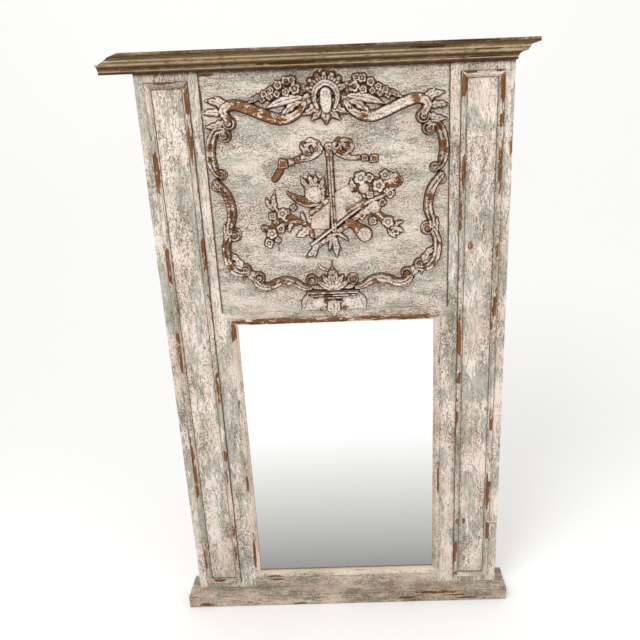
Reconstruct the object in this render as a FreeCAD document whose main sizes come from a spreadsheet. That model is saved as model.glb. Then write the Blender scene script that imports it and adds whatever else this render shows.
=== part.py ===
import FreeCAD, Part
import math
import os

import Sketcher

# A trumeau mirror: a tall painted overmantel glass between two panelled pilasters,
# with a carved panel above the glass, a crown on top and a plank for its base.
# X runs along the width, the front faces -Y, Z is up. The origin is the middle of
# the base's underside. Every length is in millimetres.

SIZES = {
    # whole body
    "body_width": 1000,
    "body_depth": 62,
    "pilaster_height": 1640,
    "face_thickness": 18,
    # base plank
    "base_width": 1062,
    "base_depth": 104,
    "base_thickness": 44,
    "base_edge_radius": 2.5,
    # pilaster boards
    "pilaster_width": 168,
    "stile_width": 192,
    "side_board_thickness": 20,
    # raised frames on the pilasters
    "frame_side_margin": 26,
    "frame_top_margin": 23,
    "frame_foot_margin": 22,
    "frame_moulding_width": 18,
    "frame_moulding_height": 8,
    # upper panel and rails
    "glass_bay_height": 977,
    "panel_recess": 4,
    "middle_rail_height": 20,
    "bottom_rail_height": 42,
    # looking glass
    "sight_moulding_width": 18,
    "sight_moulding_proud": 6,
    "glass_set_back": 8,
    "glass_thickness": 5,
    "glass_clearance": 4,
    # battens behind
    "batten_thickness": 22,
    "upright_batten_width": 60,
    "cross_batten_height": 68,
    "batten_cover": 16,
    # crown
    "lower_crown_height": 24,
    "lower_crown_out": 25,
    "upper_crown_height": 14,
    "upper_crown_out": 44,
    "crown_bead": 5,
    "crown_fillet": 4,
    "cap_thickness": 10,
    "cap_overhang": 50,
    "left_run_on": 88,
    "left_block_length": 43,
    "left_upper_setback": 11,
    "left_cap_setback": 43,
    "left_slope_run": 29,
    # carving
    "carving_side_margin": 10,
    "scroll_height": 15,
    "flower_height": 14,
    "crest_height": 24,
    # ring hangers on the back
    "hanger_drop": 190,
    "strap_width": 16,
    "strap_length": 58,
    "strap_thickness": 1.5,
    "ring_wire_radius": 1.75,
    "ring_inner_width": 26,
    "ring_inner_drop": 20,
    "knuckle_wall": 1.4,
    "running_clearance": 0.05,
    "strap_gap": 0.9,
    "screw_radius": 1.8,
    "screw_length": 16,
    "screw_head_radius": 3.8,
    "screw_head_height": 2.2,
    "screw_end_margin": 8,
    "screw_pitch": 18,
}


class Length:
    """A length that knows its number now and the formula that keeps it up to date."""

    def __init__(self, number, formula):
        self.number = number
        self.formula = formula

    def __add__(self, other):
        other = as_length(other)
        return Length(self.number + other.number, f"({self.formula} + {other.formula})")

    def __sub__(self, other):
        other = as_length(other)
        return Length(self.number - other.number, f"({self.formula} - {other.formula})")

    def __mul__(self, factor):
        return Length(self.number * factor, f"({self.formula} * {factor})")

    def __truediv__(self, factor):
        return Length(self.number / factor, f"({self.formula} / {factor})")

    def __radd__(self, other):
        return as_length(other) + self

    def __rsub__(self, other):
        return as_length(other) - self

    def __rmul__(self, factor):
        return self * factor

    def __neg__(self):
        return self * -1

    def __float__(self):
        return float(self.number)


def as_length(value):
    if isinstance(value, Length):
        return value
    return Length(value, f"({value})")


doc = FreeCAD.newDocument("TrumeauMirror")
sheet = doc.addObject("Spreadsheet::Sheet", "Sizes")


def fill_sheet():
    for row, (word, number) in enumerate(SIZES.items(), start=1):
        sheet.set(f"A{row}", word)
        sheet.set(f"B{row}", str(number))
        sheet.setAlias(f"B{row}", word)
    doc.recompute()


def size(word):
    return Length(float(getattr(sheet, word)), f"Sizes.{word}")


fill_sheet()

# ---------------------------------------------------------------- shared places
half_body = size("body_width") / 2
back = size("base_depth") / 2
front = back - size("body_depth")
face_back = front + size("face_thickness")
body_foot = size("base_thickness")
body_top = body_foot + size("pilaster_height")
panel_foot = body_foot + size("glass_bay_height")
half_panel = half_body - size("pilaster_width")
half_bay = half_body - size("stile_width")
panel_face = front + size("panel_recess")
bay_foot = body_foot + size("bottom_rail_height")
bay_top = panel_foot - size("middle_rail_height")
glass_face = front + size("glass_set_back")
upright_inner = half_bay - size("batten_cover")
batten_back = face_back + size("batten_thickness")
crown_step = body_top + size("lower_crown_height")
cap_foot = crown_step + size("upper_crown_height")

parts = []
carved = []


# ------------------------------------------------------------------ tool shed
def bind(item, prop, length):
    if isinstance(length, Length):
        item.setExpression(prop, length.formula)
    else:
        setattr(item, prop, length)


def place(item, x, y, z, axes=None):
    """Puts an item at x, y, z; axes are where its own X, Y and Z point."""
    turn = FreeCAD.Rotation()
    if axes:
        turn = FreeCAD.Rotation(*[FreeCAD.Vector(*axis) for axis in axes], "XYZ")
    spot = FreeCAD.Vector(float(x), float(y), float(z))
    item.Placement = FreeCAD.Placement(spot, turn)
    for prop, length in (("x", x), ("y", y), ("z", z)):
        if isinstance(length, Length):
            item.setExpression(f"Placement.Base.{prop}", length.formula)


def keep(item, label):
    item.Label = label
    parts.append(item)
    return item


def board(label, low, high):
    """A sawn board between two corners."""
    item = doc.addObject("Part::Box", label)
    for prop, start, end in zip(("Length", "Width", "Height"), low, high):
        bind(item, prop, as_length(end) - start)
    place(item, *low)
    return keep(item, label)


def new_body(label):
    body = doc.addObject("PartDesign::Body", label)
    return keep(body, label)


def sketch_on(body, role, offset=0):
    """A sketch on one of the body's own planes, moved out along the plane's normal."""
    plane = next(part for part in body.Origin.OriginFeatures if part.Role == role)
    sketch = body.newObject("Sketcher::SketchObject", f"{body.Name}_outline")
    sketch.AttachmentSupport = [(plane, "")]
    sketch.MapMode = "FlatFace"
    sketch.AttachmentOffset = FreeCAD.Placement(FreeCAD.Vector(0, 0, float(offset)), FreeCAD.Rotation())
    if isinstance(offset, Length):
        sketch.setExpression("AttachmentOffset.Base.z", offset.formula)
    return sketch


def arc_between(start, end, radius):
    """Minor arc from start to end; a positive radius turns left on the way."""
    chord = end - start
    middle = start + chord * 0.5
    rise = math.sqrt(max(radius * radius - chord.Length ** 2 / 4, 0))
    left = FreeCAD.Vector(-chord.y, chord.x, 0).normalize()
    centre = middle + left * math.copysign(rise, radius)
    circle = Part.Circle(centre, FreeCAD.Vector(0, 0, 1), abs(radius))
    first, last = (start, end) if radius > 0 else (end, start)
    angles = [math.atan2(point.y - centre.y, point.x - centre.x) for point in (first, last)]
    return Part.ArcOfCircle(circle, *angles)


def draw(sketch, corners):
    """Closed outline; a corner (x, y, radius) is reached by an arc of that radius."""
    points = [FreeCAD.Vector(float(corner[0]), float(corner[1]), 0) for corner in corners]
    ends = []
    for index, corner in enumerate(corners):
        start, end = points[index - 1], points[index]
        if len(corner) == 3:
            radius = float(corner[2])
            edge = sketch.addGeometry(arc_between(start, end, radius), False)
            bound = sketch.addConstraint(Sketcher.Constraint("Radius", edge, abs(radius)))
            if isinstance(corner[2], Length):
                sign = "" if radius > 0 else "-"
                sketch.setExpression(f"Constraints[{bound}]", f"{sign}({corner[2].formula})")
            ends.append((edge, 1, 2) if radius > 0 else (edge, 2, 1))
        else:
            edge = sketch.addGeometry(Part.LineSegment(start, end), False)
            ends.append((edge, 1, 2))
    for index, corner in enumerate(corners):
        edge, _, tail = ends[index]
        after, head, _ = ends[(index + 1) % len(corners)]
        sketch.addConstraint(Sketcher.Constraint("Coincident", edge, tail, after, head))
        for kind, length in (("DistanceX", corner[0]), ("DistanceY", corner[1])):
            bound = sketch.addConstraint(Sketcher.Constraint(kind, -1, 1, edge, tail, float(length)))
            if isinstance(length, Length):
                sketch.setExpression(f"Constraints[{bound}]", length.formula)


def pad(body, sketch, length, back_way=False):
    item = body.newObject("PartDesign::Pad", f"{body.Name}_pad")
    item.Profile = sketch
    item.Reversed = back_way
    bind(item, "Length", length)
    doc.recompute()
    return item


def pocket(body, sketch, back_way=False):
    """Cuts through everything on one side of the sketch, and makes sure that it did."""
    before = body.Shape.Volume
    item = body.newObject("PartDesign::Pocket", f"{body.Name}_pocket")
    item.Profile = sketch
    item.Type = "ThroughAll"
    item.Reversed = back_way
    doc.recompute()
    if body.Shape.Volume >= before:
        raise RuntimeError(f"{body.Label}: the cut removed nothing")
    return item


# ------------------------------------------------------------------ base plank
def base_plinth():
    body = new_body("base_plinth")
    half_width = size("base_width") / 2
    outline = sketch_on(body, "XY_Plane")
    draw(outline, [(-half_width, -back), (half_width, -back), (half_width, back), (-half_width, back)])
    plank = pad(body, outline, size("base_thickness"))
    rounded = body.newObject("PartDesign::Fillet", "base_rounding")
    front_edges = []
    for number, edge in enumerate(plank.Shape.Edges, start=1):
        level = edge.BoundBox.ZLength < 1 and edge.BoundBox.YLength < 1
        if level and edge.CenterOfMass.y < 0:
            front_edges.append(f"Edge{number}")
    rounded.Base = (plank, front_edges)
    bind(rounded, "Radius", size("base_edge_radius"))
    doc.recompute()


# ------------------------------------------------------------- pilaster boards
def pilaster_board(label, side):
    """One board per side: narrow beside the carved panel, wider beside the glass."""
    body = new_body(label)
    outer, narrow, wide = half_body * side, half_panel * side, half_bay * side
    outline = sketch_on(body, "XZ_Plane", -front)
    draw(outline, [
        (outer, body_foot),
        (outer, body_top),
        (narrow, body_top),
        (narrow, panel_foot),
        (wide, panel_foot),
        (wide, body_foot),
    ])
    pad(body, outline, size("face_thickness"), back_way=True)


def side_board(label, side):
    inner = half_body - size("side_board_thickness")
    low, high = (inner, half_body) if side > 0 else (-half_body, -inner)
    board(label, (low, face_back, body_foot), (high, back, body_top))


# --------------------------------------------------------------- mitred frames
def frame_section(body):
    """Round nose outside, hollow inside."""
    outline = sketch_on(body, "YZ_Plane")
    width, height = size("frame_moulding_width"), size("frame_moulding_height")
    nose = height / 2
    draw(outline, [
        (0, 0),
        (width, 0),
        (width, height / 4),
        (width - height * 0.75, height, height * -0.75),
        (nose, height),
        (0, nose, nose),
    ])
    return outline


def sight_section(body):
    """Ovolo outside and a small bead at the sight edge, on a back flat on the glass."""
    outline = sketch_on(body, "YZ_Plane")
    width = size("sight_moulding_width")
    deep = size("glass_set_back") + size("sight_moulding_proud")
    bead = size("sight_moulding_proud") / 3
    lip = size("glass_set_back") * 0.75
    shelf = width - bead * 1.8
    draw(outline, [
        (0, 0),
        (width, 0),
        (width, lip),
        (shelf, lip, bead),
        (shelf - bead / 2, lip),
        (bead, deep, width * 0.75),
        (0, deep),
    ])
    return outline


def mitred_strip(label, section, width, length, corner, along, inward):
    """A strip whose back edge is full length and whose ends are cut at 45 degrees."""
    body = new_body(label)
    pad(body, section(body), length)
    cut = sketch_on(body, "XY_Plane")
    spare = width / 2
    draw(cut, [(-spare, -spare), (width + spare, width + spare), (-spare, width + spare)])
    pocket(body, cut, back_way=True)
    cut = sketch_on(body, "XY_Plane")
    far = length + spare
    near = length - width - spare
    draw(cut, [(far, -spare), (far, width + spare), (near, width + spare)])
    pocket(body, cut, back_way=True)
    out = FreeCAD.Vector(*along).cross(FreeCAD.Vector(*inward))
    place(body, *corner, axes=(along, inward, tuple(out)))


def mitred_frame(names, section, width, y, low, high):
    """Four strips round an opening; low and high are its outer corners in X and Z."""
    wide, tall = high[0] - low[0], high[1] - low[1]
    sides = [
        (names["bottom"], wide, (low[0], y, low[1]), (1, 0, 0), (0, 0, 1)),
        (names["right"], tall, (high[0], y, low[1]), (0, 0, 1), (-1, 0, 0)),
        (names["top"], wide, (high[0], y, high[1]), (-1, 0, 0), (0, 0, -1)),
        (names["left"], tall, (low[0], y, high[1]), (0, 0, -1), (1, 0, 0)),
    ]
    for label, length, corner, along, inward in sides:
        mitred_strip(label, section, width, length, corner, along, inward)


def pilaster_frame(side_name, side):
    names = {edge: f"{side_name}_frame_{edge}" for edge in ("bottom", "right", "top", "left")}
    outer = half_body - size("frame_side_margin")
    inner = half_panel + size("frame_side_margin")
    low_x, high_x = (inner, outer) if side > 0 else (-outer, -inner)
    low = (low_x, body_foot + size("frame_foot_margin"))
    high = (high_x, body_top - size("frame_top_margin"))
    mitred_frame(names, frame_section, size("frame_moulding_width"), front, low, high)


def sight_frame():
    names = {place_name: f"sight_moulding_{place_name}" for place_name in ("bottom", "right", "top", "left")}
    low = (-half_bay, bay_foot)
    high = (half_bay, bay_top)
    mitred_frame(names, sight_section, size("sight_moulding_width"), glass_face, low, high)


# --------------------------------------------------------- panel, rails, glass
def panel_and_rails():
    board("upper_panel", (-half_panel, panel_face, panel_foot), (half_panel, face_back, body_top))
    board("middle_rail", (-half_bay, front, bay_top), (half_bay, face_back, panel_foot))
    board("bottom_rail", (-half_bay, front, body_foot), (half_bay, face_back, bay_foot))


def glass_and_backing():
    edge = half_bay - size("glass_clearance")
    low = bay_foot + size("glass_clearance")
    high = bay_top - size("glass_clearance")
    glass_back = glass_face + size("glass_thickness")
    board("mirror_glass", (-edge, glass_face, low), (edge, glass_back, high))
    board("glass_backing", (-edge, glass_back, low), (edge, face_back, high))


def upright_batten(label, side):
    """Full-height batten behind the joint; it also traps the glass and its backing."""
    body = new_body(label)
    outer = upright_inner + size("upright_batten_width")
    low, high = (upright_inner, outer) if side > 0 else (-outer, -upright_inner)
    outline = sketch_on(body, "XZ_Plane", -face_back)
    draw(outline, [(low, body_foot), (high, body_foot), (high, body_top), (low, body_top)])
    pad(body, outline, size("batten_thickness"), back_way=True)
    for height in screw_heights():
        hole = sketch_on(body, "XZ_Plane", -(batten_back - size("screw_length")))
        round_hole(hole, hanger_centre() * side, height, size("screw_radius") + size("running_clearance"))
        pocket(body, hole, back_way=False)


def round_hole(sketch, x, z, radius):
    centre = FreeCAD.Vector(float(x), float(z), 0)
    circle = sketch.addGeometry(Part.Circle(centre, FreeCAD.Vector(0, 0, 1), float(radius)), False)
    rules = [("DistanceX", x), ("DistanceY", z)]
    for kind, length in rules:
        bound = sketch.addConstraint(Sketcher.Constraint(kind, -1, 1, circle, 3, float(length)))
        if isinstance(length, Length):
            sketch.setExpression(f"Constraints[{bound}]", length.formula)
    bound = sketch.addConstraint(Sketcher.Constraint("Radius", circle, float(radius)))
    sketch.setExpression(f"Constraints[{bound}]", radius.formula)


def cross_battens():
    tall = size("cross_batten_height")
    levels = {
        "bottom_batten": body_foot,
        "middle_batten": panel_foot - tall * 0.7,
        "top_batten": body_top - tall,
    }
    for label, foot in levels.items():
        board(label, (-upright_inner, face_back, foot), (upright_inner, batten_back, foot + tall))


# ----------------------------------------------------------------------- crown
def lower_crown_points(out):
    """Bead, hollow and fillet; out gives the place that stands a given way proud."""
    bead, fillet = size("crown_bead"), size("crown_fillet")
    proud = size("lower_crown_out")
    hollow = size("lower_crown_height") - fillet - fillet
    lip = proud - bead + 1.5
    return [
        (out(0), body_top),
        (out(bead), body_top),
        (out(bead), body_top + fillet),
        (out(lip), crown_step - fillet, hollow * 1.15),
        (out(proud), crown_step - fillet),
        (out(proud), crown_step),
        (out(0), crown_step),
    ]


def upper_crown_points(out):
    """A second hollow that carries the cap board."""
    proud = size("upper_crown_out")
    start = size("lower_crown_out") + size("crown_fillet") * 0.75
    return [
        (out(0), crown_step),
        (out(start), crown_step),
        (out(proud), cap_foot, size("upper_crown_height") * 1.15),
        (out(0), cap_foot),
    ]


def turn_arcs(points, sign):
    """The same outline, with its arcs turning the other way if sign is negative."""
    turned = []
    for point in points:
        turned.append(point if len(point) == 2 else (point[0], point[1], point[2] * sign))
    return turned


def crown_front(label, points, left_end):
    """Front strip: from its left end to the mitre over the right corner."""
    body = new_body(label)
    reach = size("cap_overhang")
    outline = sketch_on(body, "YZ_Plane", left_end)
    draw(outline, turn_arcs(points(lambda proud: front - proud), 1))
    pad(body, outline, half_body + reach - left_end)
    cut = sketch_on(body, "XY_Plane")
    far = reach * 2
    draw(cut, [(half_body, front), (half_body + far, front), (half_body + far, front - far)])
    pocket(body, cut, back_way=True)
    return body


def slope_left_end(body, foot, top, end):
    """Saws the left end back on a slope between two levels."""
    cut = sketch_on(body, "XZ_Plane", -(back + size("cap_overhang")))
    spare = size("cap_overhang")
    run = size("left_slope_run")
    draw(cut, [(end - spare, foot), (end, foot), (end + run, top), (end - spare, top)])
    pocket(body, cut, back_way=True)


def crown_return(label, points):
    """Right-hand return: from the mitre to the back."""
    body = new_body(label)
    reach = size("cap_overhang")
    outline = sketch_on(body, "XZ_Plane", -back)
    draw(outline, turn_arcs(points(lambda proud: half_body + proud), -1))
    pad(body, outline, back - front + reach)
    cut = sketch_on(body, "XY_Plane")
    far = reach * 2
    draw(cut, [(half_body, front), (half_body, front - far), (half_body + far, front - far)])
    pocket(body, cut, back_way=True)


def crown():
    board("crown_core", (-half_body, front, body_top), (half_body, back, cap_foot))
    block_end = -(half_body + size("left_run_on"))
    lower_end = block_end + size("left_block_length")
    upper_end = block_end + size("left_upper_setback")
    cap_end = block_end + size("left_cap_setback")
    crown_front("lower_crown_front", lower_crown_points, lower_end)
    crown_return("lower_crown_return", lower_crown_points)
    upper = crown_front("upper_crown_front", upper_crown_points, upper_end)
    slope_left_end(upper, crown_step, cap_foot, upper_end)
    crown_return("upper_crown_return", upper_crown_points)
    crown_end_block(block_end, lower_end)
    cap_board(cap_end)


def crown_end_block(block_end, lower_end):
    """Short block pieced on where the lower strip runs past the left pilaster."""
    body = new_body("crown_end_block")
    outline = sketch_on(body, "YZ_Plane", block_end)
    draw(outline, turn_arcs(lower_crown_points(lambda proud: front - proud), 1))
    pad(body, outline, lower_end - block_end)


def cap_board(cap_end):
    """Thin board over the crown; its front edge is the topmost fillet."""
    body = new_body("cap_board")
    outline = sketch_on(body, "XY_Plane", cap_foot)
    reach = size("cap_overhang")
    draw(outline, [
        (cap_end, front - reach),
        (half_body + reach, front - reach),
        (half_body + reach, back),
        (cap_end, back),
    ])
    pad(body, outline, size("cap_thickness"))
    slope_left_end(body, cap_foot, cap_foot + size("cap_thickness"), cap_end)


# --------------------------------------------------------------- ring hangers
def hanger_centre():
    return upright_inner + size("upright_batten_width") / 2


def hanger_pivot():
    """Distance of the ring's bar from the batten."""
    return size("strap_thickness") + size("strap_gap") + size("ring_wire_radius")


def hanger_height():
    return body_top - size("hanger_drop")


def screw_heights():
    lowest = hanger_height() - size("strap_length") + size("screw_end_margin")
    return [lowest, lowest + size("screw_pitch")]


def hanger_strap(label, side):
    """Screwed plate that hangs down from the rolled knuckle round the ring's bar."""
    body = new_body(label)
    centre = hanger_centre() * side
    half = size("strap_width") / 2
    bore = size("ring_wire_radius") + size("running_clearance")
    knuckle = bore + size("knuckle_wall")
    pivot = batten_back + hanger_pivot()
    plate_back = batten_back + size("strap_thickness")
    foot = hanger_height() - size("strap_length")
    outline = sketch_on(body, "YZ_Plane", centre - half)
    draw(outline, [
        (batten_back, foot),
        (plate_back, foot),
        (plate_back, hanger_height()),
        (batten_back, hanger_height()),
    ])
    pad(body, outline, size("strap_width"))
    roll = sketch_on(body, "YZ_Plane", centre - half)
    round_hole(roll, pivot, hanger_height(), knuckle)
    pad(body, roll, size("strap_width"))
    eye = sketch_on(body, "YZ_Plane", centre + half)
    round_hole(eye, pivot, hanger_height(), bore)
    pocket(body, eye)
    clear = size("screw_radius") + size("running_clearance")
    for height in screw_heights():
        hole = sketch_on(body, "XZ_Plane", -(batten_back - clear))
        round_hole(hole, centre, height, clear)
        pocket(body, hole)


def hanger_ring(label, side):
    """D-shaped wire ring: round bar through the knuckle, bow hanging below."""
    wire = float(size("ring_wire_radius"))
    half = float(size("ring_inner_width")) / 2 + wire
    drop = float(size("ring_inner_drop")) + wire
    depth = float(batten_back + hanger_pivot())
    hub = FreeCAD.Vector(float(hanger_centre()) * side, depth, float(hanger_height()))
    reach = half + wire
    bar = Part.makeCylinder(wire, reach * 2, hub - FreeCAD.Vector(reach, 0, 0), FreeCAD.Vector(1, 0, 0))
    straight = drop - half
    bow_turns, wire_sides = 8, 8
    rows = []
    for index in range(-1, bow_turns + 2):
        angle = math.pi * min(max(index, 0), bow_turns) / bow_turns
        outward = FreeCAD.Vector(math.cos(angle), 0, -math.sin(angle))
        foot = hub - FreeCAD.Vector(0, 0, straight)
        if index in (-1, bow_turns + 1):
            foot = hub
        middle = foot + outward * half
        rows.append([middle + outward * x + FreeCAD.Vector(0, y, 0) for x, y in round_rim(wire, wire_sides)])
    ring = doc.addObject("Part::Feature", label)
    ring.Shape = bar.fuse(solid_of(skinned(rows)))
    keep(ring, label)


def hanger_screws():
    """Pan-head screws through both straps, in one group."""
    shank = float(size("screw_radius"))
    head = float(size("screw_head_radius"))
    rise = float(size("screw_head_height"))
    seat = float(batten_back + size("strap_thickness"))
    reach = float(size("screw_length")) + float(size("strap_thickness"))
    tip, shoulder, crown_share = 0.3, 0.6, 0.7
    core_sides, head_sides, slot_width = 6, 10, shank * 0.5
    solids = []
    for side in (-1, 1):
        for height in screw_heights():
            foot = FreeCAD.Vector(float(hanger_centre()) * side, seat - reach, float(height))
            section = [(tip, 0), (1, -shank * 2), (1, -reach - rise * shoulder)]
            core = solid_of(boss(foot, round_rim(shank, core_sides), section))
            under = FreeCAD.Vector(foot.x, seat, foot.z)
            dome = [(1, 0), (1, -rise * shoulder), (crown_share, -rise)]
            cap = solid_of(boss(under, round_rim(head, head_sides), dome))
            corner = FreeCAD.Vector(foot.x - head * 2, seat + rise * shoulder, foot.z - slot_width / 2)
            slot = Part.makeBox(head * 4, rise, slot_width, corner)
            solids.append(core.fuse(cap).cut(slot))
    group = doc.addObject("Part::Feature", "hanger_screws")
    group.Shape = Part.makeCompound(solids)
    keep(group, "hanger_screws")


# --------------------------------------------------------------------- carving
# The carver's drawing: places across from the middle and up from the panel's foot, one
# unit for each millimetre of a panel 664 wide and 663 tall. The drawing stretches with
# the panel, and the heights over the panel are driving dimensions.
DRAWING_HALF_WIDTH = 332
DRAWING_HEIGHT = 663
DRAWING_SIDE_MARGIN = 10
BAND_WIDTH = 27
SLIM_BAND_WIDTH = 21.6
BLOSSOM_RADIUS = 15
STALK_WIDTH = 11
RIBBON_WIDTH = 14
SMALL_LEAF_WIDTH = 20


def spot(across, up):
    """A place on the drawing, on the face of the panel."""
    return FreeCAD.Vector(across, 0, up)


def spots(side, places):
    return [spot(across * side, up) for across, up in places]


def on_panel(place):
    """A place of the drawing, or in front of it, on the real panel."""
    room = half_panel.number - float(size("carving_side_margin"))
    stretch_across = room / (DRAWING_HALF_WIDTH - DRAWING_SIDE_MARGIN)
    stretch_up = (body_top.number - panel_foot.number) / DRAWING_HEIGHT
    height = panel_foot.number + place.z * stretch_up
    return FreeCAD.Vector(place.x * stretch_across, float(panel_face) + place.y, height)


def biarc_wire(points):
    """A smooth chain of arcs through the points: two tangent arcs for each span."""
    count = len(points)
    tangents = []
    for index in range(count):
        before = points[max(index - 1, 0)]
        after = points[min(index + 1, count - 1)]
        tangents.append((after - before).normalize())
    tangents[0] = mirrored_tangent(points[1] - points[0], tangents[1])
    tangents[-1] = mirrored_tangent(points[-1] - points[-2], tangents[-2])
    edges = []
    for index in range(count - 1):
        edges += biarc(points[index], tangents[index], points[index + 1], tangents[index + 1])
    return Part.Wire(edges)


def mirrored_tangent(chord, tangent):
    """The end direction that makes the last span one arc."""
    along = chord.normalize()
    return (along * (2 * along.dot(tangent)) - tangent).normalize()


def biarc(start, leave, end, arrive):
    """Two arcs of equal reach that join start to end along the given directions."""
    span = end - start
    both = leave + arrive
    square = 2 * (1 - leave.dot(arrive))
    if square < 1e-9:
        reach = span.dot(span) / (4 * span.dot(leave))
    else:
        root = math.sqrt(span.dot(both) ** 2 + square * span.dot(span))
        reach = (root - span.dot(both)) / square
    first = start + leave * reach
    second = end - arrive * reach
    join = (first + second) * 0.5
    return [arc_by_corner(start, first, join), arc_by_corner(join, second, end)]


def arc_by_corner(start, corner, end):
    """The arc that touches both legs of the corner, or a line where there is no turn."""
    half = (start + end) * 0.5
    sag = corner - half
    leg = (corner - start).Length
    chord = (end - start).Length / 2
    if sag.Length < 1e-4 * leg:
        return Part.LineSegment(start, end).toShape()
    depth = chord * (leg - chord) / sag.Length
    return Part.Arc(start, half + sag.normalize() * depth, end).toShape()


def solid_of(facets):
    """A solid from the corners of its flat faces."""
    faces = [Part.Face(Part.makePolygon(corners + corners[:1])) for corners in facets]
    return Part.Solid(Part.makeShell(faces))


def skinned(rows):
    """Facets of a closed form over rows of corners, with a flat face at each end."""
    facets = [rows[0], rows[-1]]
    for row, following in zip(rows, rows[1:]):
        for index in range(len(row)):
            after = (index + 1) % len(row)
            facets.append([row[index], row[after], following[after]])
            facets.append([row[index], following[after], following[index]])
    return facets


def scroll_band(points, width, height, cuts=11):
    """A band with two ridges and a hollow between them, cut in short straights."""
    stations = biarc_wire(points).discretize(Number=cuts + 1)
    up = FreeCAD.Vector(0, -1, 0)
    edge, ridge, valley = 0.5, 0.34, 0.62
    section = [(-edge, 0), (-ridge, 1), (0, valley), (ridge, 1), (edge, 0)]
    rows = []
    for index, station in enumerate(stations):
        before = station - stations[index - 1] if index else stations[1] - station
        after = stations[index + 1] - station if index < cuts else before
        along = (before.normalize() + after.normalize()).normalize()
        across = along.cross(up) / along.dot(before)
        rows.append([station + across * (u * width) + up * (v * height) for u, v in section])
    return skinned(rows)


def round_rim(radius, sides=12):
    step = 2 * math.pi / sides
    return [(radius * math.cos(step * index), radius * math.sin(step * index)) for index in range(sides)]


def petal_rim(radius, petals, turn):
    """Three corners to a petal: the notch and the two shoulders."""
    step = 2 * math.pi / petals
    notch, shoulder = 0.62, 1.0
    rim = []
    for index in range(petals):
        for share, reach in ((0, notch), (0.3, shoulder), (0.7, shoulder)):
            bearing = turn + step * (index + share)
            rim.append((radius * reach * math.cos(bearing), radius * reach * math.sin(bearing)))
    return rim


def boss(centre, rim, section):
    """Facets of stacked rings; each ring is (share of the rim, distance to the front)."""
    rings = []
    for share, rise in section:
        rings.append([centre + FreeCAD.Vector(x * share, -rise, z * share) for x, z in rim])
    facets = [rings[0]]
    for lower, upper in zip(rings, rings[1:]):
        for index in range(len(rim)):
            after = (index + 1) % len(rim)
            corners = [lower[index], lower[after], upper[after], upper[index]]
            if (upper[after] - upper[index]).Length < 1e-6:
                corners = corners[:3]
            facets.append(corners)
    if section[-1][0] > 0:
        facets.append(rings[-1])
    return facets


def turned(centre, radius, height, section, sides=10):
    """A round boss; section is (share of radius, share of height)."""
    return boss(centre, round_rim(radius, sides), [(reach, rise * height) for reach, rise in section])


def volute(centre, radius, height):
    """Coil: a raised rim, a hollow and a pointed eye."""
    rim, hollow, eye = (0.86, 1), (0.5, 0.62), (0, 1.15)
    return turned(centre, radius, height, [(1, 0), rim, hollow, eye])


def flower(centre, height, turn=0):
    """Four-petalled blossom with a raised eye."""
    lip, cup = (0.94, height * 0.7), (0.36, height * 0.5)
    return boss(centre, petal_rim(BLOSSOM_RADIUS, 4, turn), [(1, 0), lip, cup, (0, height)])


def leaf(base, tip, width, height, bend=0.0):
    """A pointed leaf with a raised midrib, curved sideways by bend."""
    widest = 0.45
    along = tip - base
    side = along.cross(FreeCAD.Vector(0, 1, 0)).normalize()
    middle = base + along * widest + side * (bend * along.Length)
    left = middle + side * (width / 2)
    right = middle - side * (width / 2)
    ridge = middle + FreeCAD.Vector(0, -height, 0)
    facets = [[corner, after, ridge]
              for corner, after in ((base, left), (left, tip), (tip, right), (right, base))]
    return facets + [[base, left, tip, right]]


def slab(outline, height):
    """A flat form that stands up from its outline."""
    face = [corner + FreeCAD.Vector(0, -height, 0) for corner in outline]
    facets = [outline, face]
    for index in range(len(outline)):
        after = (index + 1) % len(outline)
        facets.append([outline[index], outline[after], face[after], face[index]])
    return facets


def fan(centre, angles, reach, width, height):
    """Leaves that spread from one place, at angles from upright."""
    leaves = []
    for angle in angles:
        bearing = math.radians(90 + angle)
        tip = centre + FreeCAD.Vector(math.cos(bearing), 0, math.sin(bearing)) * reach
        leaves.append(leaf(centre, tip, width, height))
    return leaves


def trimmed(shape):
    """Takes away what earlier carving already fills and drops the crumbs."""
    crumb_share = 1 / 20
    for other in carved:
        if shape.BoundBox.intersect(other.BoundBox):
            shape = shape.cut(other)
    largest = max(solid.Volume for solid in shape.Solids)
    pieces = [solid for solid in shape.Solids if solid.Volume > largest * crumb_share]
    return pieces[0] if len(pieces) == 1 else Part.makeCompound(pieces)


def carve(label, forms):
    """Joins the forms of one ornament, laid out on the real panel."""
    solids = []
    for facets in forms:
        solids.append(solid_of([[on_panel(corner) for corner in corners] for corners in facets]))
    whole = solids[0].fuse(solids[1:]) if len(solids) > 1 else solids[0]
    item = doc.addObject("Part::Feature", label)
    item.Shape = trimmed(whole)
    carved.append(item.Shape)
    keep(item, label)


def shell_crest():
    """Cabochon in a ring under a fan of lobes, with a leaf on each side."""
    height = float(size("crest_height"))
    centre = spot(0, 603)
    ring, seat = (0.62, 0.9), (0.55, 0.45)
    forms = [turned(centre, 34, height, [(1, 0), (0.9, 0.9), ring, seat, (0, 0.45)])]
    forms.append(leaf(spot(0, 625), spot(0, 521), 34, height * 0.8))
    forms += fan(centre, (-60, -30, 0, 30, 60), 50, 26, height * 0.85)
    for side in (-1, 1):
        forms.append(leaf(spot(14 * side, 600), spot(64 * side, 534), 30, height * 0.6, 0.1 * side))
        forms.append(leaf(spot(20 * side, 610), spot(66 * side, 600), 26, height * 0.7))
    carve("shell_crest", forms)


def scroll(label, side, route, width, volutes, leaves=()):
    """A band with a coil at its ends and leaves behind it, on one side of the panel."""
    height = float(size("scroll_height"))
    leaf_height = height * 0.75
    forms = [scroll_band(spots(side, route), width, height)]
    for across, up, radius in volutes:
        forms.append(volute(spot(across * side, up), radius, height))
    for base, tip, leaf_width in leaves:
        forms.append(leaf(*spots(side, (base, tip)), leaf_width, leaf_height))
    carve(label, forms)


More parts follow.
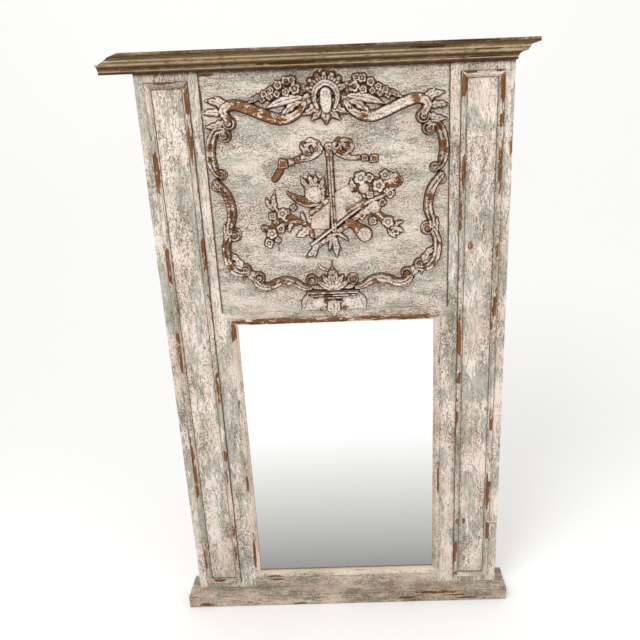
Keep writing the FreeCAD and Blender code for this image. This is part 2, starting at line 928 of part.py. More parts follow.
def top_scroll(label, side):
    """S-scroll that falls from the crest and rolls in at the corner, with its corner leaves."""
    route = [(268, 540), (268, 566), (240, 574), (205, 566), (160, 547), (124, 537), (90, 541), (62, 560)]
    leaves = [(base, tip, SMALL_LEAF_WIDTH)
              for base, tip in (((272, 572), (318, 585)), ((280, 555), (326, 556)), ((276, 535), (322, 524)))]
    scroll(label, side, route, BAND_WIDTH, [(260, 531, 18)], leaves)


def upper_side_scroll(label, side):
    route = [(284, 516), (304, 502), (313, 470), (317, 435), (310, 404), (294, 394)]
    scroll(label, side, route, SLIM_BAND_WIDTH, [(277, 500, 19), (290, 398, 13)])


def middle_side_scroll(label, side):
    route = [(308, 366), (290, 350), (277, 318), (276, 284), (284, 254), (276, 236)]
    scroll(label, side, route, SLIM_BAND_WIDTH, [(309, 368, 14), (272, 232, 18)])


def lower_side_scroll(label, side):
    """Lower corner: the band turns in to a coil, with a long leaf behind the turn."""
    route = [(288, 214), (299, 186), (296, 150), (278, 122), (252, 122)]
    scroll(label, side, route, SLIM_BAND_WIDTH, [(247, 131, 15)], [((280, 126), (212, 70), 26)])


def bottom_scroll(label, side):
    route = [(216, 96), (196, 82), (163, 88), (124, 88), (92, 74), (72, 76)]
    scroll(label, side, route, SLIM_BAND_WIDTH, [(214, 104, 16)])


def garland(label, side):
    """Swag of blossoms along the top of the S-scroll."""
    height = float(size("flower_height"))
    stem = [(64, 618), (100, 614), (140, 600), (186, 588)]
    forms = [scroll_band(spots(side, stem), STALK_WIDTH, height * 0.6, cuts=5)]
    blooms = [(76, 628), (104, 612), (130, 606), (158, 592), (182, 586)]
    for number, (across, up) in enumerate(blooms):
        forms.append(flower(spot(across * side, up), height, turn=number))
    carve(label, forms)


def flower_urn():
    """Footed bowl with a shell between two coils, on a flared bracket."""
    height = float(size("crest_height")) * 0.8
    bowl_height, bracket_height = height * 0.7, height * 0.6
    shelf = [(-62, 50), (62, 50), (62, 60), (-62, 60)]
    bowl = [(-52, 60), (52, 60), (34, 96), (0, 124), (-34, 96)]
    bracket = [(-52, 50), (-56, 32), (-80, 14), (-78, 4), (78, 4), (80, 14), (56, 32), (52, 50)]
    forms = [
        slab(spots(1, shelf), height),
        slab(spots(1, bowl), bowl_height),
        slab(spots(1, bracket), bracket_height),
        volute(spot(-50, 86), 15, height),
        volute(spot(50, 86), 15, height),
        leaf(spot(0, 56), spot(0, 1), 40, height),
    ]
    forms += fan(spot(0, 62), (-56, -28, 0, 28, 56), 52, 18, height)
    carve("flower_urn", forms)


def quiver():
    """Quiver across the middle, with its mouth at the upper right and leaves under it."""
    height = float(size("scroll_height"))
    body = [(-62, 182), (-10, 218), (52, 262), (104, 303)]
    lip, bore = (0.6, 0.5), (0, 0.5)
    forms = [scroll_band(spots(1, body), BAND_WIDTH, height, cuts=8)]
    forms.append(turned(spot(104, 303), 18, height, [(1, 0), (1, 0.8), lip, bore]))
    for tip in ((-34, 178), (-8, 160), (22, 160), (48, 184)):
        forms.append(leaf(spot(4, 224), spot(*tip), SMALL_LEAF_WIDTH, height * 0.7))
    carve("quiver", forms)


def horn():
    height = float(size("scroll_height"))
    tube = [(10, 244), (40, 250), (66, 240), (92, 222)]
    lip, throat = (0.8, 0.9), (0.6, 0.4)
    forms = [scroll_band(spots(1, tube), BLOSSOM_RADIUS, height * 0.9, cuts=6)]
    forms.append(turned(spot(98, 219), 23, height, [(1, 0), (1, 0.85), lip, throat, (0, 0.4)]))
    carve("horn", forms)


def staff():
    height = float(size("scroll_height")) * 0.8
    carve("staff", [scroll_band(spots(1, [(6, 452), (7, 350), (9, 250)]), 17, height, cuts=6)])


def ribbon_bow():
    """Knot with a loop and a tail on each side."""
    height = float(size("scroll_height"))
    ribbon = height * 0.6
    forms = [turned(spot(4, 462), 16, height, [(1, 0), (0.8, 0.9), (0, 1)])]
    loop = [(8, 468), (34, 482), (58, 468), (40, 450), (10, 456)]
    tail = [(18, 458), (62, 438), (94, 426), (122, 430), (138, 408)]
    for side in (-1, 1):
        forms.append(scroll_band(spots(side, loop), RIBBON_WIDTH, ribbon, cuts=10))
        forms.append(scroll_band(spots(side, tail), RIBBON_WIDTH, ribbon, cuts=8))
    carve("ribbon_bow", forms)


def plumed_hat():
    """Round crown with five plumes and the brim."""
    height = float(size("scroll_height"))
    dome = [(1, 0), (0.9, 0.7), (0.5, 0.8), (0, 1.1)]
    forms = [turned(spot(-66, 336), 30, height, dome)]
    for base, tip in (((-70, 350), (-60, 388)), ((-50, 350), (-22, 384)), ((-88, 336), (-122, 348)),
                      ((-84, 322), (-120, 312)), ((-42, 330), (-12, 352))):
        forms.append(leaf(spot(*base), spot(*tip), 22, height * 0.8))
    carve("plumed_hat", forms)


def flower_spray(label, stem, blooms):
    """Blossoms on stalks that spring from one curved stem."""
    height = float(size("flower_height"))
    forms = [scroll_band(spots(1, stem), STALK_WIDTH, height * 0.6, cuts=5)]
    root = spot(*stem[1])
    for number, (across, up) in enumerate(blooms):
        centre = spot(across, up)
        forms.append(flower(centre, height, turn=number))
        forms.append(leaf(root, centre, STALK_WIDTH * 1.4, height * 0.55))
    carve(label, forms)


def trophy():
    """Crossed emblems in the middle of the panel, hung from the bow."""
    quiver()
    horn()
    staff()
    ribbon_bow()
    plumed_hat()
    flower_spray("left_flower_spray", [(-60, 230), (-108, 256), (-150, 262)],
                 [(-108, 298), (-134, 288), (-146, 322), (-176, 226), (-142, 240), (-174, 202), (-160, 282)])
    flower_spray("right_flower_spray", [(70, 300), (116, 314), (150, 330)],
                 [(88, 370), (138, 350), (168, 374), (190, 362), (128, 294), (160, 256), (186, 226),
                  (110, 336)])


def carving():
    shell_crest()
    flower_urn()
    builders = {
        "top_scroll": top_scroll,
        "upper_side_scroll": upper_side_scroll,
        "middle_side_scroll": middle_side_scroll,
        "lower_side_scroll": lower_side_scroll,
        "bottom_scroll": bottom_scroll,
        "garland": garland,
    }
    for name, builder in builders.items():
        for side_name, side in (("left", -1), ("right", 1)):
            builder(f"{side_name}_{name}", side)
    trophy()


# -------------------------------------------------------------------- assembly
def build():
    base_plinth()
    for side_name, side in (("left", -1), ("right", 1)):
        pilaster_board(f"{side_name}_pilaster_board", side)
        side_board(f"{side_name}_side_board", side)
        pilaster_frame(f"{side_name}_pilaster", side)
        upright_batten(f"{side_name}_upright_batten", side)
        hanger_strap(f"{side_name}_hanger_strap", side)
        hanger_ring(f"{side_name}_hanger_ring", side)
    hanger_screws()
    sight_frame()
    panel_and_rails()
    glass_and_backing()
    cross_battens()
    crown()
    carving()
    doc.recompute()


def check():
    for item in doc.Objects:
        if "Invalid" in item.State or "Error" in item.State:
            raise RuntimeError(f"{item.Label}: {item.State}")
    for item in parts:
        if item.Shape.isNull() or not item.Shape.isValid():
            raise RuntimeError(f"{item.Label}: bad shape")


def export():
    os.makedirs("parts", exist_ok=True)
    for item in parts:
        item.Shape.exportStep(f"parts/{item.Label}.step")


build()
check()
export()
print(f"{len(parts)} sub-parts written")
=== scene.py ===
import math

import bmesh
import bpy
import numpy as np
from mathutils import Matrix, Vector


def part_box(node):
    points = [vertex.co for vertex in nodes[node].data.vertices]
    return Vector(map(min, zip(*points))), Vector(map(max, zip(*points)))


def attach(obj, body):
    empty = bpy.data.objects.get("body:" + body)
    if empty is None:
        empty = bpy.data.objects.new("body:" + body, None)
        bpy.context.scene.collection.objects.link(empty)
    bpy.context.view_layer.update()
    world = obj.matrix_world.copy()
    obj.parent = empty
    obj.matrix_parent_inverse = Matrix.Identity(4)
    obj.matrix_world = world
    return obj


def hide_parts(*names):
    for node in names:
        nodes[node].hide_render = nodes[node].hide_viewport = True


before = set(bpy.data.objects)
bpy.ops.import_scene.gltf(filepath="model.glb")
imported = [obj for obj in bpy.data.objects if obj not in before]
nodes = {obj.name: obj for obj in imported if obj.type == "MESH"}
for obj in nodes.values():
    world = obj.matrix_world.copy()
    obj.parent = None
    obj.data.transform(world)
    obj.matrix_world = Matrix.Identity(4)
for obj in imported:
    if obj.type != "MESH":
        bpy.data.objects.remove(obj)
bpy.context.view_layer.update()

# ---------------------------------------------------------------------- camera
# The photograph is taken standing, 1.8 m in front and a hand right of the middle,
# with a wide lens that looks down at the glass and leans a little to the left.
eye = (0.0718, -1.7996, 1.5738)
look_down, turn, lean = -0.3194, 0.01514, 0.03837
sensor_width = 36
lens_length = 36
frame_shift = (-0.0474, 0.0033)

aim = (Matrix.Rotation(turn, 3, "Z") @ Matrix.Rotation(look_down, 3, "X")
       @ Matrix.Rotation(lean, 3, "Y"))
right, ahead, up = aim.col[0], aim.col[1], aim.col[2]
view = Matrix((right, up, -ahead)).transposed().to_4x4()
view.translation = Vector(eye)
camera = bpy.data.objects.new("camera", bpy.data.cameras.new("camera"))
bpy.context.scene.collection.objects.link(camera)
camera.matrix_world = view
camera.data.sensor_width = sensor_width
camera.data.lens = lens_length
camera.data.shift_x, camera.data.shift_y = frame_shift
bpy.context.scene.camera = camera
bpy.context.scene.view_settings.view_transform = "Standard"

# ------------------------------------------------------------------ base plank
# Softwood plank that the whole mirror stands on, planed, eased at its edges and painted
# with the rest. Its front edge has lost paint where feet and brooms have knocked it.


def linear(colour):
    """Linear colour of an sRGB hex value: each channel through the sRGB curve."""
    channels = [int(colour[i:i + 2], 16) / 255 for i in (1, 3, 5)]
    straight = [c / 12.92 if c <= 0.04045 else ((c + 0.055) / 1.055) ** 2.4 for c in channels]
    return (*straight, 1.0)


def add(tree, kind, inputs, output=0, **settings):
    """Adds a node, sets it, links or fills its inputs, and gives one output."""
    node = tree.nodes.new("ShaderNode" + kind)
    for name, value in settings.items():
        setattr(node, name, value)
    for name, value in inputs.items():
        if isinstance(value, bpy.types.NodeSocket):
            tree.links.new(value, node.inputs[name])
        else:
            node.inputs[name].default_value = value
    return node.outputs[output] if node.outputs else None


def new_finish(name):
    """Empty material, its nodes, and the place of each point of the piece in metres."""
    material = bpy.data.materials.new(name)
    material.use_nodes = True
    material.node_tree.nodes.clear()
    return material, material.node_tree, add(material.node_tree, "TexCoord", {}, "Object")


def stretched(tree, place, grain, along, across):
    """Place scaled to repeat so many times a metre along and across the wood's grain."""
    scale = (along, across, across) if grain == "X" else (across, across, along)
    return add(tree, "Mapping", {0: place, "Scale": scale})


def aged_paint(name, grain="Z", worn=(), grime_and_shade=(), bare=(), pale=(), grey=0.5, carved=False,
               dirt=0.0, light="#EADDD0", soft=0.0, pricked=0.0, raw_from=None):
    """Chippy chalk paint on softwood: pine, then a pinkish cream, then a grey-green coat.

    The top coat is scumbled along the grain, so the cream shows in ragged streaks, and
    both are pricked with dark pits. worn, grimy and pale are (axis, centre, reach): most
    at that place in metres, the paint is rubbed off here and there, darkened with grime
    and painted shade, and lightened with pale paint and a painted highlight, in that
    order. bare is (x, z, half width, half height) of places rubbed to the wood. A carved
    piece brings its own worn and grimy values, one for each of its points, which hold
    painted shade on steep sides and in hollows as well as wear and grime. grey sets how
    much top coat is left, dirt is the share of a film over it all, light the undercoat's
    colour, soft the least share of top coat, and pricked how many pits and flecks it has
    beyond the usual. Behind the depth raw_from the wood was never painted."""
    material, tree, place = new_finish(name)
    axes = add(tree, "SeparateXYZ", {0: place})
    axis = {"X": axes, "Y": axes.node.outputs[1], "Z": axes.node.outputs[2]}

    def grained(along, across, detail=3.0, rough=0.6, swirl=0.0):
        """Cloudy pattern that repeats so many times a metre along and across the grain."""
        inputs = {"Vector": stretched(tree, place, grain, along, across), "Scale": 1.0,
                  "Detail": detail, "Roughness": rough, "Distortion": swirl}
        return add(tree, "TexNoise", inputs)

    def summed(first, *others):
        """A pattern plus a share of each of the others."""
        for pattern, share in others:
            first = add(tree, "Math", {0: pattern, 1: share, 2: first}, operation="MULTIPLY_ADD")
        return first

    def where(low, high, *patterns):
        """1 where the patterns' sum is past high, 0 where it is short of low, smooth between."""
        inputs = {"Value": summed(*patterns), "From Min": low, "From Max": high}
        return add(tree, "MapRange", inputs, interpolation_type="SMOOTHSTEP")

    def strongest(first, *others):
        """The greatest of some masks at each place."""
        for mask in others:
            first = add(tree, "Math", {0: first, 1: mask}, operation="MAXIMUM")
        return first

    def over(under, mask, share, top, how="MIX"):
        """A colour laid over another where the mask lets it, as thick as the share."""
        thick = add(tree, "Math", {0: mask, 1: share}, operation="MULTIPLY")
        return add(tree, "Mix", {0: thick, 6: under, 7: top}, 2, data_type="RGBA", blend_type=how)

    def beside(name_of_axis, centre, reach, broken=1.0):
        """1 at the centre, 0 a reach away on both sides, and broken up by a pattern."""
        away = add(tree, "Math", {0: axis[name_of_axis], 1: centre}, operation="SUBTRACT")
        away = add(tree, "Math", {0: away}, operation="ABSOLUTE")
        return add(tree, "Math", {0: where(reach, 0.0, away), 1: broken}, operation="MULTIPLY")

    # patches of top coat 150 by 45 mm, with streaks 20 by 4 mm at their edges
    patches = grained(7, 22, 5, 0.62, 0.4)
    streaks = grained(50, 240, 4, 0.72)
    clumps = grained(6, 16, 3)
    coat = where(1.02 - 0.20 * grey, 1.14 - 0.20 * grey, patches, (streaks, 0.85))
    pink = where(0.35, 0.7, grained(9, 14, 2))
    cream = over(linear(light), pink, 1.0, linear("#D9C4B4"))
    shade = where(0.6, 0.95, grained(30, 90, 4, 0.7), (streaks, 0.5))
    green = over(linear("#989689"), shade, 1.0, linear("#C1BFB1"))
    colour = over(cream, strongest(coat, soft), 1.0, green)

    # chalky flecks 3 by 2 mm
    flecks = where(0.56 - pricked, 0.66 - pricked, grained(300, 430, 2, 0.6))
    colour = over(colour, flecks, 0.45 + 8 * pricked, linear("#F1E9DF"))

    # old paint shows brown where the brush dragged, in streaks 9 by 2 mm
    skipped = where(0.78, 0.92, grained(110, 420, 3, 0.7), (streaks, 0.5))
    colour = over(colour, skipped, 0.55, linear("#A08C7A"))

    # pits and brush skips 2 to 5 mm long, thick in some places
    pits = grained(200, 360, 2, 0.55)
    pitted = where(0.92 - pricked, 0.99 - pricked, pits, (clumps, 0.5), (streaks, 0.22))
    fine = where(0.72, 0.79, grained(420, 820, 1, 0.5), (clumps, 0.25))
    faint = add(tree, "Math", {0: fine, 1: 0.6}, operation="MULTIPLY")
    pitted = strongest(pitted, faint)
    colour = over(colour, pitted, 0.75, linear("#644833"))

    # how far the paint is rubbed away, with chips 40 by 11 mm, or 14 by 8 mm on carvings
    rubbed = [add(tree, "Attribute", {}, "Fac", attribute_name="worn")] if carved else []
    if worn:
        here_and_there = where(0.5, 0.62, grained(9, 9, 2))
        rubbed += [beside(*line, here_and_there) for line in worn]
    for x, z, half_width, half_height in bare:
        local = add(tree, "Mapping", {0: place, "Location": (-x / half_width, 0, -z / half_height),
                                      "Scale": (1 / half_width, 0, 1 / half_height)})
        reach = add(tree, "VectorMath", {0: local}, "Value", operation="LENGTH")
        inside = where(1.35, 0.35, reach)
        rubbed.append(add(tree, "Math", {0: inside, 1: 1.1}, operation="MULTIPLY"))
    chips = grained(70, 130, 5, 0.7, 0.6) if carved else grained(26, 90, 5, 0.7, 0.6)
    bareness = summed(chips, (streaks, 0.35), (pits, 0.2))
    if rubbed:
        bareness = summed(bareness, (strongest(*rubbed), 0.36))
    chipped_edge = where(1.0, 1.03, bareness)
    wood = where(1.035, 1.06, bareness)
    lines = grained(14, 620, 3, 0.65)
    timber = over(linear("#5E3A1C"), where(0.35, 0.65, lines), 1.0, linear("#946437"))
    timber = over(timber, where(0.45, 0.7, grained(20, 60, 3)), 1.0, linear("#6C431F"))
    colour = over(colour, chipped_edge, 0.75, linear("#E6D8C8"))
    colour = over(colour, wood, 1.0, timber)

    # a film of dirt, thicker in places 80 by 25 mm, and grime with painted shade in the corners,
    # joints and hollows
    if dirt:
        film = where(0.1, 0.7, grained(12, 40, 5, 0.7))
        colour = over(colour, film, dirt, linear("#9F8A66"), "MULTIPLY")
    grime_and_shade_masks = [add(tree, "Attribute", {}, "Fac", attribute_name="grime_and_shade")] if carved else []
    grime_and_shade_masks += [beside(*line) for line in grime_and_shade]
    # painted shade with grime: dark brown along the lines and where the carving's values say
    if grime_and_shade_masks:
        colour = over(colour, strongest(*grime_and_shade_masks), where(0.1, 0.5, streaks), linear("#482E1A"))
    # pale paint with a painted highlight along each pale line
    for line in pale:
        pale_and_highlit = beside(*line, where(0.35, 0.52, streaks))
        colour = over(colour, pale_and_highlit, 0.8, linear("#DFC9A4"))

    # raw pine behind, with its growth lines, darkened in patches
    if raw_from is not None:
        raw = where(raw_from - 0.0004, raw_from, axis["Y"])
        pine = over(linear("#B59A72"), where(0.3, 0.7, lines), 1.0, linear("#8E714C"))
        pine = over(pine, where(0.45, 0.75, patches), 1.0, linear("#86694A"))
        colour = over(colour, raw, 1.0, pine)

    # the coats stand 0.4 mm over the wood, and the pits are 0.3 mm deep
    level = summed(0.6, (wood, -0.6), (coat, 0.2), (pitted, -0.4), (streaks, 0.55))
    normal = add(tree, "Bump", {"Strength": 0.7, "Distance": 0.0007, "Height": level})
    skin = add(tree, "BsdfPrincipled", {"Base Color": colour, "Normal": normal, "IOR": 1.48,
                                        "Roughness": summed(0.62, (streaks, 0.3)),
                                        "Specular IOR Level": 0.3})
    add(tree, "OutputMaterial", {0: skin})
    return material


def dress(names, material):
    """Gives CAD nodes their material."""
    for name in names:
        mesh = nodes[name].data
        mesh.materials.clear()
        mesh.materials.append(material)


plank_low, plank_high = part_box("base_plinth")
plank_paint = aged_paint(
    "chalk_paint_on_plank", grain="X", grey=0.65, dirt=0.6,
    # grime and painted shade in a dark line under the top edge and along the foot
    grime_and_shade=[("Z", plank_high.z - 0.003, 0.0015), ("Z", plank_low.z, 0.003)],
    bare=[(-0.475, 0.010, 0.05, 0.009), (0.30, 0.036, 0.10, 0.008), (0.37, 0.024, 0.05, 0.004),
          (0.20, 0.018, 0.04, 0.006), (0.40, 0.012, 0.05, 0.006), (-0.16, 0.006, 0.035, 0.005),
          (0.535, 0.03, 0.006, 0.012)],
)
dress(["base_plinth"], plank_paint)

# ------------------------------------------------------------------- pilasters
# A wide board with a board behind its outer edge on each side, and a moulded frame
# nailed and mitred on its face. The sharp edges of the frames have lost their paint.
face_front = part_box("left_pilaster_board")[0].y
frame_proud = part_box("left_pilaster_frame_left")[0].y
half_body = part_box("right_pilaster_board")[1].x
sides = ("left", "right")
board_paint = aged_paint(
    "chalk_paint_on_pilasters", grain="Z", grey=0.75, light="#ECE0D4",
    raw_from=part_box("left_pilaster_board")[1].y,
    worn=[("X", half_body, 0.003), ("X", -half_body, 0.003)],
    # painted shadow under the crown, 12 mm down the top of each board, with grime
    grime_and_shade=[("Z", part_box("left_pilaster_board")[1].z, 0.012)],
    bare=[(0.393, 1.20, 0.010, 0.022), (0.391, 0.282, 0.008, 0.018), (0.496, 1.465, 0.005, 0.04)],
)
dress([f"{side}_pilaster_board" for side in sides], board_paint)
side_paint = aged_paint(
    "chalk_paint_on_side_boards", grain="Z", grey=0.75, light="#ECE0D4",
    worn=[("Y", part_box("left_side_board")[0].y, 0.004)],
    raw_from=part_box("left_side_board")[1].y,
)
dress([f"{side}_side_board" for side in sides], side_paint)
for side, patches in (
        ("left", [(-0.367, 1.505, 0.009, 0.075), (-0.467, 1.430, 0.010, 0.07),
                  (-0.363, 1.197, 0.009, 0.065), (-0.454, 1.19, 0.005, 0.08),
                  (-0.358, 1.04, 0.005, 0.06), (-0.467, 0.87, 0.006, 0.06),
                  (-0.471, 0.575, 0.008, 0.10), (-0.364, 0.765, 0.007, 0.045),
                  (-0.368, 0.48, 0.007, 0.035), (-0.367, 0.19, 0.007, 0.045),
                  (-0.470, 0.165, 0.006, 0.06)]),
        ("right", [(0.366, 1.63, 0.012, 0.045), (0.468, 1.62, 0.009, 0.05),
                   (0.369, 1.40, 0.008, 0.06), (0.361, 1.28, 0.008, 0.05),
                   (0.467, 1.185, 0.008, 0.03), (0.464, 1.01, 0.007, 0.045),
                   (0.364, 0.93, 0.009, 0.09), (0.361, 0.663, 0.008, 0.035),
                   (0.464, 0.386, 0.008, 0.095), (0.361, 0.168, 0.008, 0.07),
                   (0.457, 0.96, 0.006, 0.02)])):
    # painted shade with grime: dark lines along each frame's edges and at its foot on the board
    edges = [("X", corner.x, 0.003) for part in ("left", "right")
             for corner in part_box(f"{side}_pilaster_frame_{part}")]
    frame_paint = aged_paint(
        "chalk_paint_on_" + side + "_frames", grain="Z", grey=0.8, dirt=0.2,
        worn=[("Y", frame_proud, 0.002)], grime_and_shade=[("Y", face_front, 0.002), *edges], bare=patches,
    )
    dress([side + "_pilaster_frame_left", side + "_pilaster_frame_right"], frame_paint)
# painted shade with grime: dark lines along the frame ends' edges and at their foot on the board
edges = [("Z", corner.z, 0.003) for part in ("top", "bottom")
         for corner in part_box("left_pilaster_frame_" + part)]
cross_paint = aged_paint(
    "chalk_paint_on_frame_ends", grain="X", grey=0.7, dirt=0.2,
    grime_and_shade=[("Y", face_front, 0.0025), *edges],
    bare=[(0.385, 1.660, 0.03, 0.008), (-0.423, 1.658, 0.035, 0.006), (-0.43, 0.077, 0.03, 0.006),
          (0.456, 1.660, 0.012, 0.006)],
)
dress([f"{side}_pilaster_frame_{part}" for side in sides for part in ("top", "bottom")],
      cross_paint)

# ------------------------------------------------------------- panel and rails
# The carved panel is one wide board with its grain across, set back a little between
# the pilasters, over a thin rail. A deeper rail stands under the glass.
panel_low, panel_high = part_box("upper_panel")
panel_face = panel_low.y
# reach of the painted shadow, with grime, along the panel's joints with the pilasters
joint = 0.008
panel_paint = aged_paint(
    "chalk_paint_on_panel", grain="X", grey=0.8, light="#E8DBCD", soft=0.3, pricked=0.025,
    bare=[(-0.31, 1.675, 0.03, 0.005), (-0.328, 1.62, 0.004, 0.05)], raw_from=panel_high.y,
    grime_and_shade=[("X", panel_high.x, joint), ("X", panel_low.x, joint), ("Z", panel_high.z, 0.014)],
)
dress(["upper_panel"], panel_paint)
rail_paint = aged_paint("chalk_paint_on_rails", grain="X", grey=0.6, dirt=0.25,
                        raw_from=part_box("bottom_rail")[1].y,
                        bare=[(-0.24, 0.07, 0.04, 0.004)])
dress(["middle_rail", "bottom_rail"], rail_paint)

# --------------------------------------------------------------- sight moulding
# Small mitred moulding that holds the glass: a flat, a step and a bead. Its paint has
# gone along the top and most of the left side, where it shows brown wood.
sight_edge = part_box("sight_moulding_left")[0].x
sight_paint = aged_paint(
    "chalk_paint_on_sight_moulding", grain="Z", grey=0.3, dirt=0.25,
    bare=[(sight_edge + 0.004, 0.965, 0.012, 0.04), (sight_edge + 0.003, 0.728, 0.006, 0.025),
          (sight_edge + 0.002, 0.48, 0.008, 0.075), (sight_edge + 0.003, 0.185, 0.008, 0.085),
          (-sight_edge - 0.002, 0.44, 0.006, 0.09), (-sight_edge - 0.002, 0.86, 0.003, 0.05)],
)
dress(["sight_moulding_left", "sight_moulding_right"], sight_paint)
sight_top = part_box("sight_moulding_top")[1].z
sight_cross_paint = aged_paint(
    "chalk_paint_on_sight_rail", grain="X", grey=0.2, dirt=0.2,
    # painted highlight in pale paint along the top of the bottom moulding
    pale=[("Z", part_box("sight_moulding_bottom")[1].z - 0.002, 0.009)],
    bare=[(-0.17, sight_top - 0.008, 0.20, 0.015), (0.18, sight_top - 0.007, 0.18, 0.012),
          (-0.01, sight_top - 0.008, 0.08, 0.011),
          (-0.24, 0.088, 0.04, 0.005), (0.05, 0.10, 0.03, 0.003)],
)
dress(["sight_moulding_top", "sight_moulding_bottom"], sight_cross_paint)

# --------------------------------------------------------------- looking glass
# Silvered float glass with a sheet of hardboard behind it. The silvering mirrors almost
# all the light, and its colour is painted darker towards the foot as a painted reflection.
silvering, tree, place = new_finish("silvered_float_glass")
height = add(tree, "SeparateXYZ", {0: place}, 2)
glass_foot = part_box("mirror_glass")[0].z
# painted reflection: the colour fades from near white at 0.66 m to grey at the glass's foot
painted_fade_top = 0.66
painted_reflection_fade = add(tree, "MapRange", {"Value": height, "From Min": glass_foot, "From Max": painted_fade_top})
foxing = add(tree, "TexNoise", {"Vector": place, "Scale": 14.0, "Detail": 5.0})
painted_reflection_fade = add(tree, "Math", {0: foxing, 1: 0.02, 2: painted_reflection_fade}, operation="MULTIPLY_ADD")
tint = add(tree, "Mix", {0: painted_reflection_fade, 6: linear("#9A9A9B"), 7: linear("#FDFDFD")}, 2,
           data_type="RGBA")
smear = add(tree, "TexNoise", {"Vector": place, "Scale": 6.0, "Detail": 3.0})
gloss = add(tree, "MapRange", {"Value": smear, "To Min": 0.015, "To Max": 0.04})
mirror = add(tree, "BsdfPrincipled", {"Base Color": tint, "Metallic": 1.0, "Roughness": gloss})
add(tree, "OutputMaterial", {0: mirror})
dress(["mirror_glass"], silvering)

hardboard, tree, place = new_finish("pressed_hardboard")
# wood fibres 1 mm long, and the wire-mesh print of the pressing, 2 mm apart
fibres = add(tree, "TexNoise", {"Vector": place, "Scale": 900.0, "Detail": 3.0})
blotches = add(tree, "TexNoise", {"Vector": place, "Scale": 9.0, "Detail": 6.0, "Roughness": 0.65})
blotches = add(tree, "MapRange", {"Value": blotches, "From Min": 0.4, "From Max": 0.65})
mesh_print = add(tree, "TexVoronoi", {"Vector": place, "Scale": 480.0}, distance="CHEBYCHEV")
brown = add(tree, "Mix", {0: fibres, 6: linear("#5B412B"), 7: linear("#93704C")}, 2,
            data_type="RGBA")
brown = add(tree, "Mix", {0: blotches, 6: brown, 7: linear("#6A4C31")}, 2, data_type="RGBA")
grip = add(tree, "Bump", {"Strength": 0.4, "Distance": 0.0004, "Height": mesh_print})
board = add(tree, "BsdfPrincipled", {"Base Color": brown, "Roughness": 0.78, "Normal": grip})
add(tree, "OutputMaterial", {0: board})
dress(["glass_backing"], hardboard)

# ---------------------------------------------------------------------- battens
# Two upright battens and three across hold the boards together at the back. They are
# bare sawn pine, yellowed with age, with growth lines along each batten and a few knots.


def bare_pine(name, grain):
    """Sawn pine: growth lines 5 to 10 mm apart, bent round a few knots, and saw fuzz.

    The lines are the sine of a cloudy height that is stretched along the grain."""
    material, tree, place = new_finish(name)
    bend = add(tree, "TexNoise", {"Vector": stretched(tree, place, grain, 0.9, 16),
                                  "Scale": 1.0, "Detail": 2.0}, "Color")
    knots = add(tree, "TexVoronoi", {"Vector": stretched(tree, place, grain, 3.1, 13),
                                     "Scale": 1.0})
    knot = add(tree, "MapRange", {"Value": knots, "From Min": 0.10, "From Max": 0.0},
               interpolation_type="SMOOTHSTEP")
    bulge = add(tree, "MapRange", {"Value": knots, "From Min": 0.35, "From Max": 0.0},
                interpolation_type="SMOOTHSTEP")
    height = add(tree, "SeparateXYZ", {0: bend})
    swell = add(tree, "Math", {0: bulge, 1: 0.35, 2: height}, operation="MULTIPLY_ADD")
    rings = add(tree, "Math", {0: swell, 1: 75.0}, operation="MULTIPLY")
    rings = add(tree, "Math", {0: rings}, operation="SINE")
    rings = add(tree, "MapRange", {"Value": rings, "From Min": -0.2, "From Max": 1.0},
                interpolation_type="SMOOTHSTEP")
    fuzz = add(tree, "TexNoise", {"Vector": stretched(tree, place, grain, 14, 420), "Scale": 1.0,
                                  "Detail": 4.0, "Roughness": 0.7})
    tone = add(tree, "Mix", {0: rings, 6: linear("#D8B683"), 7: linear("#B98C55")}, 2,
               data_type="RGBA")
    tone = add(tree, "Mix", {0: knot, 6: tone, 7: linear("#5E3A1E")}, 2, data_type="RGBA")
    shaded = add(tree, "MapRange", {"Value": fuzz, "To Min": 0.0, "To Max": 0.45})
    tone = add(tree, "Mix", {0: shaded, 6: tone, 7: linear("#8A6C48")}, 2, data_type="RGBA")
    rough = add(tree, "Bump", {"Strength": 0.5, "Distance": 0.0005, "Height": fuzz})
    pine = add(tree, "BsdfPrincipled", {"Base Color": tone, "Roughness": 0.75, "Normal": rough,
                                        "Specular IOR Level": 0.3})
    add(tree, "OutputMaterial", {0: pine})
    return material


dress([f"{side}_upright_batten" for side in sides], bare_pine("sawn_pine_upright", "Z"))
dress(["bottom_batten", "middle_batten", "top_batten"], bare_pine("sawn_pine_across", "X"))

# ------------------------------------------------------------------------ crown
# Two moulded strips, the upper one further out, on a solid core, under a thin board.
# They are grimier than the rest, with painted shade in their coves and under the cap, and pale paint
# with a painted highlight on their thin fillets.
lower_low, lower_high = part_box("lower_crown_front")
cap_low, cap_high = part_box("cap_board")
crown_paint = aged_paint(
    "grime_and_shade_paint_on_crown", grain="X", grey=0.8, dirt=1.6,
    # grime with painted shade in the coves, under the cap and along two upright lines
    grime_and_shade=[("Z", cap_low.z + 0.002, 0.005), ("Z", lower_high.z - 0.009, 0.005),
           ("Z", lower_low.z + 0.001, 0.007), ("X", -0.262, 0.003), ("X", -0.254, 0.002)],
    # pale paint with a painted highlight along the fillets
    pale=[("Z", lower_high.z - 0.002, 0.004), ("Z", lower_low.z + 0.007, 0.002),
          ("Z", cap_low.z - 0.008, 0.003)],
    bare=[(0.27, cap_low.z - 0.002, 0.07, 0.006), (0.36, cap_high.z - 0.002, 0.14, 0.005),
          (0.42, lower_high.z + 0.002, 0.05, 0.004), (0.40, lower_low.z + 0.008, 0.09, 0.005),
          (0.10, cap_high.z - 0.003, 0.10, 0.004), (-0.33, cap_high.z - 0.001, 0.10, 0.002),
          (-0.10, lower_low.z + 0.012, 0.10, 0.004)],
)
